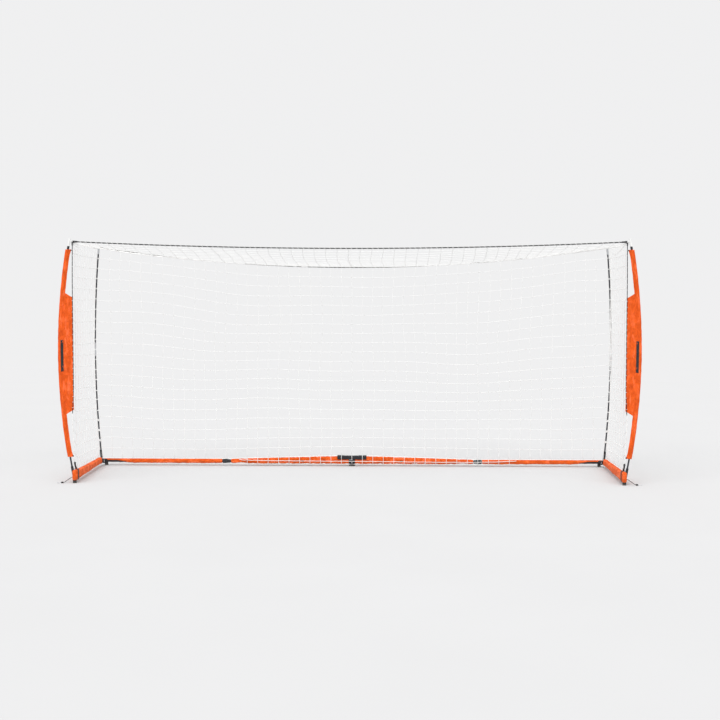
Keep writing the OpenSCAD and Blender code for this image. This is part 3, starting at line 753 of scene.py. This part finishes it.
for index, (body, (x1, x2)) in enumerate(PANELS.items()):
    columns = np.linspace(x1, x2, CELLS_HALF // 2 + 1)
    rear = woven_panel(rear_crossings(columns, CELLS_UP + 1), 100 + index, skip_last=index < 3)
    hang = [x for x in columns[:-1] if abs(x - DROOP_MIDDLE) < DROOP_HALF]
    for x in hang:
        rear.cord(droop(x), TWINE_R, 6, (1, 0, 0))
    xs = np.linspace(x1, x2, 50)
    xs = xs[np.abs(xs - DROOP_MIDDLE) < DROOP_HALF]
    if len(xs) > 4:
        top = cover_top(xs)
        share = droop_share(xs)
        height = top - 0.003 - share * (top - COVER_LOW)
        wave = 0.0015 * waves(xs, xs, 41, low=20, high=60)
        hem = points(xs, cover_front(xs) - 0.001, height + wave)
        rear.cord(hem, TWINE_R * 1.25, 6, (0, 1, 0))
        under = points(xs, cover_front(xs) + 0.014, COVER_LOW - 0.004)
        rear.cord(under, TWINE_R * 1.4, 6, (0, 1, 0))
    foot = points(columns, NET_Y, cover_top(columns) + 0.004)
    rear.cord(fair(foot, 4), TWINE_R * 1.5, 6, (0, 0, 1))
    settle(rear.build(f"{body}_rear_twine", "net_twine"), body, "net_twine", f"{body}_rear_net")

    roof = woven_panel(roof_crossings(columns, CELLS_DEEP + 1), 200 + index, skip_last=index < 3)
    ropes = Strands()
    fine = np.linspace(x1, x2, 90)
    for y, heights, radius, turns in (
        (POLE_Y, front_z(fine), ROPE_R, 26), (NET_Y, rear_z(fine), ROPE_R - 0.001, 30),
    ):
        ropes.cord(points(fine, y, heights - ROPE_R), radius, 10, (0, 0, 1))
        lace_x = np.linspace(x1, x2, 40 * turns // 4)
        spin = np.linspace(0, turns * 2 * math.pi, len(lace_x))
        reach = radius + TWINE_R * 0.7
        drop = np.interp(lace_x, fine, heights) - ROPE_R
        lace = points(lace_x, y + reach * np.cos(spin), drop + reach * np.sin(spin))
        roof.cord(lace, TWINE_R * 0.8, 5, (1, 0, 0))
    built = (roof.build(f"{body}_roof_twine", "net_twine"), ropes.build(f"{body}_top_ropes", "black_rope"))
    for piece in built:
        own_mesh(settle(piece, body, "net_twine", f"{body}_roof_net"))


def side_panel(name, sign):
    grid = side_crossings(sign, CELLS_DEEP + 1, CELLS_UP + 1)
    twine = woven_panel(grid, 300 + sign)
    for z in np.arange(0.22, GOAL_H - 0.03, 0.050):
        x = sign * float(edge_x(z))
        ring = [
            (x + 0.0052 * math.cos(a), EDGE_Y + 0.0052 * math.sin(a), z + 0.006 * a / 9)
            for a in np.linspace(0, 9, 14)
        ]
        twine.cord(ring, TWINE_R * 0.75, 5, (0, 0, 1))
    low_z = np.linspace(0.190, EDGE_SPLIT, 24)
    twine.cord(points(sign * edge_x(low_z), EDGE_Y, low_z), 0.0028, 8, (1, 0, 0))
    made = twine.build(f"{name}_side_twine", "net_twine")
    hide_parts(f"{name}_side_net")
    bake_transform(made)
    edge_z = np.linspace(EDGE_SPLIT, GOAL_H - 0.011, 60)
    edge = points(sign * edge_x(edge_z), EDGE_Y, edge_z)
    rope = Strands().cord(edge, 0.0034, 10, (1, 0, 0))
    settle(rope.build(f"{name}_edge_rope", "black_rope"), f"{name}_side", "net_twine", f"{name}_side_net")


def pole_loops(name, sign):
    """White twine that ties the net to the rear pole, with a short wrap at every mesh."""
    twine = Strands()
    rng = np.random.default_rng(400 + sign)
    for z in np.arange(0.24, REAR_TOP - 0.06, 0.0985):
        z = z + rng.normal(0, 0.004)
        turns = 1.6 if z > 0.5 else 4
        a = np.linspace(0, turns * 2 * math.pi, int(turns * 12))
        height = z + 0.0040 * a / (2 * math.pi)
        x = np.array([rear_pole_x(h) for h in height])
        wrap = points(sign * (x + POLE_WRAP_R * np.cos(a)), BAR_Y + POLE_WRAP_R * np.sin(a), height)
        twine.cord(wrap, TWINE_R * 0.95, 6, (0, 0, 1))
        tie = [
            (sign * (x[0] + 0.004), BAR_Y - 0.008, z), (sign * (x[0] - 0.006), BAR_Y - 0.011, z - 0.001),
            (sign * (x[0] - 0.020), NET_Y, z + 0.002),
        ]
        twine.cord(fair(tie, 3), TWINE_R * 0.9, 6, (0, 0, 1))
    settle(twine.build(f"{name}_pole_loops", "net_twine"), f"{name}_outer", "net_twine")


for name, sign in SIDES:
    side_panel(name, sign)
    pole_loops(name, sign)


# ---- Bow sleeves ----


ACROSS = 26
SLEEVE_STEP = 0.0065


def sleeve_section(z):
    """Outline of the left sleeve at height z: front from the outer edge inwards, then back again."""
    bow = bow_x(z)
    outer = bow + SLEEVE_W / 2
    panel_reach = outer - (SIDE_X + 0.004)
    rise = min((z - (PANEL_LOW - PANEL_SLOPE)) / PANEL_SLOPE, (PANEL_HIGH + PANEL_SLOPE - z) / PANEL_SLOPE)
    panel = min(max(rise, 0.0), 1.0)
    ends = max(0.0, 1 - min(z - SLEEVE_LOW, SLEEVE_HIGH - z) / 0.065)
    width = SLEEVE_W + max(0.0, panel_reach - SLEEVE_W) * panel + 0.007 * smooth_step(ends)
    d = width * (1 - np.cos(np.linspace(0, math.pi, ACROSS))) / 2
    tube = np.clip((d - SLEEVE_W / 2) / (SLEEVE_W / 2), -1, 1)
    flat = 0.0009
    tail = np.where(tube > 0, 1 - smooth_step(tube), 1.0)
    thick = flat + (SLEEVE_T / 2 - flat) * np.sqrt(np.clip(1 - np.minimum(tube, 0) ** 2, 0, 1)) * tail
    thick[0] = 0.0006
    front = [(-(outer - a), POLE_Y - t, z) for a, t in zip(d, thick)]
    back = [(-(outer - a), POLE_Y + t, z) for a, t in zip(d, thick)]
    outline = np.array(front + back[-2:0:-1])
    reach = np.concatenate([d, d[-2:0:-1]]) / width
    for k, p in enumerate(outline):
        face = 1.0 if k < ACROSS else -1.0
        fold, pucker = sleeve_wrinkles(p, face, reach[k])
        p[1] -= face * fold * math.sin(math.pi * min(max(reach[k], 0.02), 0.98)) ** 0.5
        p[0] += pucker
    return outline


def sleeve_wrinkles(p, face, reach):
    """Long folds along the pole, and diagonal creases that run off it."""
    x, z = p[0] * 26 + face * 3, p[2]
    long_fold = noise.noise(Vector((x, face * 7, z * 5)))
    crease = noise.noise(Vector((x * 0.6 + z * 14, face * 5, z * 17)))
    sharp = 1 - min(1.0, abs(noise.noise(Vector((x * 0.9 - z * 9, face * 3 + 9, z * 11)))) * 5)
    depth = max(0.0058 * long_fold + 0.0052 * crease + 0.0034 * sharp, -0.0046)
    edge = 1.0 if reach < 0.2 or reach > 0.85 else 0.3
    return depth, 0.0018 * noise.noise(Vector((face * 2, 1.5, z * 22))) * edge


def mirrored(grid, sign):
    """The left-hand shape for the left side, and its mirror image for the right."""
    grid = np.array(grid)
    grid[..., 0] *= -sign
    return grid


def stitched(strands, line, normal, gap=0.0058, stitch=0.0036, radius=0.00042):
    """Short threads along a line, standing just proud of the cloth."""
    line = np.asarray(line, float)
    along = run_along(line)
    lift = np.asarray(normal, float)
    for s in np.arange(0.004, along[-1] - stitch, gap):
        t = np.linspace(s, s + stitch, 4)
        seam = np.stack([np.interp(t, along, line[:, k]) for k in range(3)], 1)
        seam += np.outer(np.sin(np.linspace(0, math.pi, 4)) * radius * 1.2, lift)
        strands.cord(seam, radius, 4)


def sleeve(name, sign):
    heights = np.arange(SLEEVE_LOW, SLEEVE_HIGH + 0.001, SLEEVE_STEP)
    rows = np.array([sleeve_section(z) for z in heights])
    grid = mirrored(rows, sign)
    if sign > 0:
        grid = grid[:, ::-1]
    made = surface(f"{name}_sleeve_cloth", grid, "sleeve_fabric", around=True)
    thicken(made, 0.0008)
    settle(made, f"{name}_side", "sleeve_fabric", f"{name}_bow_sleeve")
    # seams: round both mouths, along the pole pocket and round the panel
    thread, edge = Strands(), Strands()
    for row in (2, 4, len(rows) - 5, len(rows) - 3):
        ring = rows[row]
        stitched(thread, ring[:ACROSS] - (0, 0.0006, 0), (0, -1, 0))
        stitched(thread, np.concatenate([ring[ACROSS:], ring[:1]]) + (0, 0.0006, 0), (0, 1, 0))
    inside = [i for i, z in enumerate(heights) if PANEL_LOW - 0.01 < z < PANEL_HIGH + 0.01]
    for face, column in ((-1, ACROSS - 3), (-1, 17), (1, ACROSS + 2), (1, 2 * ACROSS - 2 - 17)):
        seam = rows[inside][:, column] + (0, face * 0.0007, 0)
        stitched(thread, seam, (0, face, 0))
    edge.cord(rows[inside][:, ACROSS - 1], 0.0016, 8, (0, 1, 0))
    for row in (0, len(rows) - 1):
        edge.cord(rows[row], 0.0012, 6, (0, 0, 1), closed=True)
    for strands, kind, finish in ((thread, "stitching", "thread"), (edge, "binding", "sleeve_fabric")):
        piece = place(strands.build(f"{name}_sleeve_{kind}", finish), Matrix.Diagonal((-sign, 1, 1, 1)))
        settle(piece, f"{name}_side", "sleeve_fabric")
    # a plain black woven label sewn down the panel's front
    label_rows = []
    for z in np.arange(LABEL_LOW, LABEL_HIGH, SLEEVE_STEP):
        row = rows[int(np.argmin(np.abs(heights - z)))]
        front = row[:ACROSS]
        spot = np.linspace(-(bow_x(z) - 0.004), -(bow_x(z) - 0.026), 5)
        face_y = np.array([front[int(np.argmin(np.abs(front[:, 0] - x)))][1] for x in spot])
        label_rows.append(points(spot, face_y - 0.0011, row[0][2]))
    label = surface(f"{name}_sleeve_label", mirrored(label_rows, sign), "webbing")
    thicken(label, 0.0008)
    settle(label, f"{name}_side", "webbing")
    # black webbing corner patches at both mouths, on the net's side
    patch = Strands()
    for z in (SLEEVE_LOW + 0.006, SLEEVE_HIGH - 0.006):
        near = rows[int(np.argmin(np.abs(heights - z)))][ACROSS - 1]
        for k in range(4):
            turn = [
                near + (0.004 * math.cos(a), 0.0035 * math.sin(a), -0.004 + 0.0028 * k)
                for a in np.linspace(0, 2 * math.pi, 13)[:-1]
            ]
            patch.cord(turn, 0.0016, 6, (0, 0, 1), closed=True)
    piece = place(patch.build(f"{name}_sleeve_tabs", "webbing"), Matrix.Diagonal((-sign, 1, 1, 1)))
    settle(piece, f"{name}_side", "webbing")


for name, sign in SIDES:
    sleeve(name, sign)


# ---- Padded covers ----


def outline(width, height, corner, count):
    """Points round a rounded rectangle, evenly spaced, starting at the middle of its -x side."""
    w, h = width / 2 - corner, height / 2 - corner
    path = []
    for cx, cy, start in ((-w, h, 180), (w, h, 90), (w, -h, 0), (-w, -h, -90)):
        for a in np.linspace(0, -90, 9):
            t = math.radians(start + a)
            path.append((cx + corner * math.cos(t), cy + corner * math.sin(t)))
    path = np.array([(-width / 2, 0.0)] + path + [(-width / 2, 0.0)])
    along = run_along(path)
    even = np.linspace(0, along[-1], count, endpoint=False)
    return np.stack([np.interp(even, along, path[:, k]) for k in range(2)], 1)


ROUND = 44
STEP = 0.0055
TONGUE = 0.042
CLOTH_FRAMES = 20


def tucked(position, end):
    """How much of its full size a cover has near its gathered end."""
    return 0.80 + 0.20 * smooth_step(abs(position - end) / 0.030)


def outer_cover_rows():
    x1, x2 = (f.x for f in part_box("right_outer_cover"))
    stations = np.arange(x1, x2 + TONGUE + STEP / 2, STEP)
    rows = []
    for x in stations:
        size = tucked(x, x1)
        ring = outline(COVER_W * size * 0.95, (COVER_HIGH - COVER_LOW) * size * 0.95, 0.012, ROUND)
        y, z = ring[:, 0], ring[:, 1]
        # near the corner the front lower edge is drawn back and shows the black tube
        bare = smooth_step((x - (x2 - 0.26)) / 0.24)
        low_front = np.clip((0.014 - y) / 0.014, 0, 1) * np.clip((0.010 - z) / 0.012, 0, 1)
        z = z + bare * low_front * (0.0165 - z)
        # a tongue goes on over the corner plates to the rear pole
        over = smooth_step((x - x2 + 0.004) / 0.008)
        z = z + over * (np.maximum(z, 0.0185) + 0.0022 - z)
        y = y * (1 - 0.14 * over)
        rows.append(points(x, BAR_Y + y, TUBE_Z + z))
    return np.array(rows)


def inner_cover_rows():
    x1, x2 = (f.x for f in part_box("right_inner_cover"))
    stations = np.arange(x1 - 0.012, x2 + STEP / 2, STEP)
    rows = []
    for x in stations:
        high = float(cover_top(x))
        size = tucked(x, x2)
        ring = outline(COVER_W * size * 0.95, (high - COVER_LOW) * size * 0.95, 0.012, ROUND)
        middle_z = (high + COVER_LOW) / 2
        rows.append(points(x, BAR_Y + ring[:, 0], middle_z + ring[:, 1]))
    return np.array(rows)


def side_cover_rows():
    low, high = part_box("right_side_cover")
    stations = np.arange(low.y, high.y + STEP / 2, STEP)
    rows = []
    for y in stations:
        top = float(side_cover_top(y)) - 0.002
        size = tucked(y, high.y) - 0.035 * math.exp(-(((y - STRAP_Y) / 0.016) ** 2))
        nose = smooth_step((y - low.y + 0.004) / 0.016)
        tall = (top - COVER_LOW) * (0.88 + 0.12 * nose) * size * 0.97
        wide = (COVER_W - 0.002) * (0.72 + 0.28 * nose) * size * 0.95
        ring = outline(wide, tall, 0.011, ROUND)
        rows.append(points(SIDE_X + ring[:, 0], y, (top + COVER_LOW) / 2 + ring[:, 1]))
    return np.array(rows)


def puff(made, held, pressure, spare, limit):
    """Inflates a cover by cloth simulation with spare cloth, and keeps each point within a limit."""
    rest = np.array([v.co for v in made.data.vertices])
    group = made.vertex_groups.new(name="held")
    for index, weight in enumerate(held):
        if weight > 0:
            group.add([index], float(weight), "REPLACE")
    cloth = made.modifiers.new("cloth", "CLOTH")
    s = cloth.settings
    s.quality = 6
    s.mass = 0.25
    s.tension_stiffness = s.compression_stiffness = 22
    s.shear_stiffness = 6
    s.bending_stiffness = 0.12
    s.use_pressure = True
    s.uniform_pressure_force = pressure
    s.shrink_min = s.shrink_max = -spare
    s.vertex_group_mass = "held"
    s.pin_stiffness = 1.0
    s.effector_weights.gravity = 0.0
    cloth.collision_settings.use_collision = False
    cloth.collision_settings.use_self_collision = False
    cloth.point_cache.frame_start, cloth.point_cache.frame_end = 1, CLOTH_FRAMES
    for step in range(1, CLOTH_FRAMES + 1):
        bpy.context.scene.frame_set(step)
    graph = bpy.context.evaluated_depsgraph_get()
    shaped = made.evaluated_get(graph)
    moved = np.array([v.co for v in shaped.data.vertices])
    made.modifiers.remove(cloth)
    bpy.context.scene.frame_set(1)
    shift = moved - rest
    far = np.maximum(np.linalg.norm(shift, axis=1), 1e-9)
    shift *= (np.minimum(far, limit) / far)[:, None]
    made.data.vertices.foreach_set("co", (rest + shift).astype(np.float32).ravel())
    made.data.update()


def crumple(rows, along_axis, seed, amount):
    """Starting wrinkles for the simulation: shallow crossways and slanting folds."""
    centre = rows.mean(1, keepdims=True)
    outward = rows - centre
    outward[..., along_axis] = 0
    outward /= np.maximum(np.linalg.norm(outward, axis=2), 1e-6)[..., None]
    fold = np.zeros(rows.shape[:2])
    for i, row in enumerate(rows):
        for k, p in enumerate(row):
            run, out, up = p[along_axis], outward[i, k, 1 - along_axis], outward[i, k, 2]
            broad = noise.noise(Vector((run * 20, out * 1.5, up * 1.5 + seed)))
            slant = noise.noise(Vector((run * 55 + up * 1.2, out, seed)))
            fold[i, k] = broad + 0.7 * slant
    return rows + outward * (amount * fold)[..., None]


COVER_SHAPES = {}
CREASE_DEPTH = {"outer": 0.0036, "inner": 0.0036, "side": 0.0019}


def cover(name, sign, kind, rows_of, along_axis, body, spare, seed):
    """One padded cover: simulated once for the right side, and mirrored for the left."""
    if kind not in COVER_SHAPES:
        rows = crumple(rows_of(), along_axis, seed, CREASE_DEPTH[kind])
        count = len(rows)
        trial = surface("trial_cover", rows, "cover_fabric", around=True)
        ends = np.minimum(np.arange(count), count - 1 - np.arange(count))
        held = np.clip(1.0 - ends / 3.0, 0, 1)
        held = np.repeat(held, ROUND).reshape(count, ROUND)
        if kind == "side":
            held = np.maximum(held, np.exp(-(((rows[..., 1] - STRAP_Y) / 0.020) ** 2)))
        if kind == "outer":
            bare = np.clip((rows[..., 0] - rows[:, :, 0].max() + TONGUE + 0.27) / 0.05, 0, 1)
            held = np.maximum(held, bare * (rows[..., 1] < BAR_Y))
        puff(trial, held.ravel(), 3.0, spare, 0.0055)
        shaped = np.array([v.co for v in trial.data.vertices]).reshape(rows.shape)
        bpy.data.objects.remove(trial)
        COVER_SHAPES[kind] = shaped
    rows = COVER_SHAPES[kind].copy()
    rows[..., 0] *= sign
    if (sign > 0) != (along_axis == 1):
        rows = rows[:, ::-1]
    made = surface(f"{name}_{kind}_padding", rows, "cover_fabric", around=True, caps=True)
    soften = made.modifiers.new("soft", "SUBSURF")
    soften.levels = soften.render_levels = 1
    settle(made, body, "cover_fabric", f"{name}_{kind}_cover")
    return rows


def cover_seam(name, kind, rows, column, body, normal):
    """A felled seam along the cover, with its row of stitches."""
    line = fair(rows[2:-2:4, column], 2) + np.asarray(normal) * 0.0008
    seam = Strands()
    stitched(seam, line, normal, gap=0.0068, stitch=0.0042, radius=0.0005)
    settle(seam.build(f"{name}_{kind}_stitching", "thread"), body, "cover_fabric")


for name, sign in SIDES:
    for kind, rows_of, axis, spare, seed in (
        ("outer", outer_cover_rows, 0, 0.05, 3.0),
        ("inner", inner_cover_rows, 0, 0.06, 8.0),
        ("side", side_cover_rows, 1, 0.028, 14.0),
    ):
        body = f"{name}_{kind}"
        shape = cover(name, sign, kind, rows_of, axis, body, spare, seed)
        section = shape[len(shape) // 2] - shape[len(shape) // 2].mean(0)
        top = int(np.argmax(section[:, 2] - 0.4 * np.abs(section[:, 1 - axis])))
        cover_seam(name, kind, shape, top, body, (0, 0, 1))


# ---- Black flap over the middle hinge ----


def ribbon(name, line, across, thickness, material, steps=1):
    """A flat band along a line; across is the half-width vector at each point."""
    line, across = np.asarray(line, float), np.asarray(across, float)
    rows = np.stack([line + across * t for t in np.linspace(-1, 1, steps + 1)], 1)
    made = surface(name, rows, material)
    thicken(made, thickness)
    return made


def centre_flap():
    low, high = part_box("centre_flap")
    half_w = (high.y - low.y) / 2 - 0.0012
    top = high.z - 0.0012
    arc = 0.013
    section = [(-half_w + 0.0005, low.z - 0.004), (-half_w, low.z + 0.006), (-half_w, top - arc)]
    section += [
        (-half_w + arc - arc * math.cos(a), top - arc + arc * math.sin(a))
        for a in np.linspace(0.2, math.pi / 2, 7)
    ]
    section += [(-y, z) for y, z in section[::-1]]
    section = fair(section, 2)
    xs = np.linspace(low.x, high.x, 72)
    rows = []
    for x in xs:
        lift = [0.0014 * noise.noise(Vector((x * 34, p[0] * 30, p[1] * 30 + 4))) for p in section]
        hem = 0.0008 * smooth_step(1 - (high.x - abs(x)) / 0.012)
        rows.append([
            (x, BAR_Y + y * (1 + (d + hem) / half_w), z + (d + hem) * (z - TUBE_Z) / 0.06)
            for (y, z), d in zip(section, lift)
        ])
    rows = np.array(rows)
    made = surface("centre_flap_cloth", rows, "flap_fabric")
    thicken(made, 0.0014)
    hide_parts("centre_flap")
    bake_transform(made)
    seams = Strands()
    for row in (2, -3):
        stitched(seams, rows[row][4:-4] + (0, 0, 0.0009), (0, 0, 1), gap=0.006, radius=0.0005)
    for x in (-0.012, 0.012):
        row = int(np.argmin(np.abs(xs - x)))
        stitched(seams, rows[row][4:-4] + (0, 0, 0.0009), (0, 0, 1), gap=0.006, radius=0.0005)
    piece = seams.build("centre_flap_stitching", "thread_black")
    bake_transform(piece)


centre_flap()


# ---- Corner straps, buckles and top corners ----


def corner_strap(name, sign):
    width = COVER_W + 0.0035
    tall = HOOD_HIGH + 0.001 - COVER_LOW + 0.0035
    ring = outline(width, tall, 0.013, 64)
    centre_z = COVER_LOW - 0.001 + (tall - 0.0035) / 2 + 0.0005
    loop = points(sign * SIDE_X + ring[:, 0], STRAP_Y, centre_z + ring[:, 1])
    loop = np.concatenate([loop, loop[:1]])
    half = np.tile([0, STRAP_W / 2, 0], (len(loop), 1))
    band = ribbon(f"{name}_strap_loop", loop, half, 0.0022, "webbing", 4)
    settle(band, f"{name}_side", "webbing", f"{name}_corner_strap")
    top = centre_z + tall / 2
    tail = fair(
        [(sign * SIDE_X, STRAP_Y, top + 0.0008), (sign * SIDE_X, STRAP_Y - 0.006, top + 0.010),
         (sign * SIDE_X, POLE_Y + 0.020, top + 0.028), (sign * SIDE_X, POLE_Y + 0.008, 0.168),
         (sign * SIDE_X, POLE_Y + 0.004, 0.186)], 5
    )
    spread = np.linspace(0.0085, 0.0060, len(tail))
    piece = ribbon(f"{name}_strap_tail", tail, points(spread, 0, 0), 0.0020, "webbing", 3)
    settle(piece, f"{name}_side", "webbing", f"{name}_corner_strap")
    buckle(name, sign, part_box(f"{name}_corner_strap")[1].z)


def buckle(name, sign, top):
    """Side-release buckle: a body with a waist, two side prongs and the bar that the strap wraps."""
    made = Strands()
    cx, cy = sign * SIDE_X, POLE_Y + 0.004
    z0 = top - 0.020
    body_rows = []
    for t in np.linspace(0, 1, 9):
        wide = 0.0066 - 0.0012 * math.sin(math.pi * t)
        deep = 0.0036 + 0.0008 * math.sin(math.pi * t)
        body_rows.append([
            (cx + wide * math.copysign(abs(math.cos(a)) ** 0.5, math.cos(a)),
             cy + deep * math.copysign(abs(math.sin(a)) ** 0.5, math.sin(a)), z0 + 0.020 * t)
            for a in circle(20)
        ])
    shell = surface(f"{name}_buckle", body_rows, "dark_plastic", around=True, caps=True)
    settle(shell, f"{name}_side", "webbing", f"{name}_corner_strap")
    for s in (-1, 1):
        made.cord(
            fair([(cx + s * 0.0070, cy, z0 + 0.002), (cx + s * 0.0086, cy, z0 + 0.009),
                  (cx + s * 0.0070, cy, z0 + 0.016)], 4), 0.0013, 8, (0, 1, 0)
        )
    made.cord([(cx - 0.0080, cy, z0 - 0.003), (cx + 0.0080, cy, z0 - 0.003)], 0.0014, 8, (0, 1, 0))
    settle(made.build(f"{name}_buckle_prongs", "dark_plastic"), f"{name}_side", "webbing")


def top_corner(name, sign):
    """Black webbing wraps and the white loop that hang the net's top corner on the bow's tip."""
    wraps, loop = Strands(), Strands()
    corner = np.array([sign * SIDE_X, POLE_Y, GOAL_H - ROPE_R])
    a = circle(14)
    for k in range(7):
        x = corner[0] - sign * (0.006 + 0.0062 * k)
        r = 0.0082 - 0.0003 * k
        ring = points(x, POLE_Y + r * np.cos(a), front_z(x) - ROPE_R + r * np.sin(a))
        wraps.cord(ring, 0.0023, 6, (1, 0, 0), closed=True)
    for k in range(5):
        r = 0.0068 - 0.0004 * k
        ring = points(corner[0] + r * np.cos(a), EDGE_Y + r * np.sin(a), GOAL_H - 0.014 - 0.0058 * k)
        wraps.cord(ring, 0.0022, 6, (0, 0, 1), closed=True)
    settle(wraps.build(f"{name}_corner_wraps", "webbing"), f"{name}_side", "webbing")
    ear = np.array([sign * (SIDE_X + 0.010), POLE_Y, GOAL_H - 0.004])
    for drift in (-0.0022, 0.0022):
        line = fair(
            [corner + (0, drift, 0.002), corner + (sign * 0.004, -0.007 + drift, 0.004),
             ear + (0, -0.006, drift), ear + (0, 0.006, drift), corner + (sign * 0.003, 0.006, -0.004)], 5
        )
        loop.cord(line, 0.0015, 6)
    # gathered twine under the corner
    rng = np.random.default_rng(500 + sign)
    for k in range(7):
        end = corner + (-sign * rng.uniform(0.03, 0.16), rng.uniform(0.0, 0.05), -rng.uniform(0.03, 0.12))
        mid = (corner + end) / 2 + (0, 0.004, -0.012)
        loop.cord(fair([corner - (sign * 0.004, 0, 0.006), mid, end], 5), TWINE_R * 0.9, 6)
    settle(loop.build(f"{name}_corner_loops", "net_twine"), f"{name}_side", "net_twine")


for name, sign in SIDES:
    corner_strap(name, sign)
    top_corner(name, sign)


# ---- Finishes of the CAD parts that stay ----

FINISHES = {
    "tube": ("steel_tube", 0.0006), "hinges": ("black_plate", 0.0004), "hinge": ("black_plate", 0.0004),
    "fasteners": ("plated_steel", 0.0003), "bracket": ("black_plate", 0.0004),
    "socket": ("black_plate", 0.0004), "foot": ("foot_rubber", 0.0008),
    "pole": ("pole_black", 0.0), "bow_fittings": ("bow_fittings", 0.0),
    "rear_pole_fittings": ("rear_fittings", 0.0),
}
for node, made in NODES.items():
    if made.hide_render:
        continue
    key = next(k for k in sorted(FINISHES, key=len, reverse=True) if node.endswith(k))
    finish, bevel = FINISHES[key]
    made.data.materials.clear()
    made.data.materials.append(MATERIALS[finish])
    if bevel:
        edge = made.modifiers.new("worn edges", "BEVEL")
        edge.width = bevel
        edge.segments = 2
        edge.limit_method = "ANGLE"
        edge.angle_limit = math.radians(50)
        edge.harden_normals = False


# ---- Floor, sky and lamps ----


def floor():
    """A pale floor that fades out into the backdrop."""
    bpy.ops.mesh.primitive_plane_add(size=60, location=(0, 0, 0))
    made = bpy.context.object
    made.name = "floor"
    s = Shader("floor", Roughness=0.9, Specular_IOR_Level=0.0)
    s.finish(s.mix(s.noise(s.place, 0.8, 2.0), (0.52, 0.52, 0.522, 1), (0.54, 0.54, 0.542, 1)))
    away = s.node("VectorMath", (0, s.place), operation="LENGTH").outputs["Value"]
    clear = s.node("BsdfTransparent").outputs[0]
    faded = s.node("MixShader", (0, s.remap(away, 5.0, 16.0)), (1, s.surface.outputs[0]), (2, clear))
    s.tree.links.new(faded.outputs[0], s.tree.nodes["Material Output"].inputs["Surface"])
    made.data.materials.append(s.material)


def lamp(name, heading, height, strength, spread):
    """A soft distant lamp, aimed from a heading (0 is the goal's front) and a height in degrees."""
    data = bpy.data.lights.new(name, "SUN")
    data.energy = strength
    data.angle = math.radians(spread)
    made = bpy.data.objects.new(name, data)
    made.rotation_euler = (math.radians(90 - height), 0, math.radians(heading))
    bpy.context.scene.collection.objects.link(made)


floor()
world = bpy.data.worlds.new("studio")
world.use_nodes = True
sky = world.node_tree.nodes["Background"]
sky.inputs["Color"].default_value = (0.87, 0.87, 0.875, 1)
sky.inputs["Strength"].default_value = 1.0
bpy.context.scene.world = world
lamp("key", -35, 50, 1.3, 35)
lamp("fill", 30, 40, 0.8, 45)
lamp("top", 0, 86, 0.9, 25)
bpy.context.scene.view_settings.view_transform = "Standard"
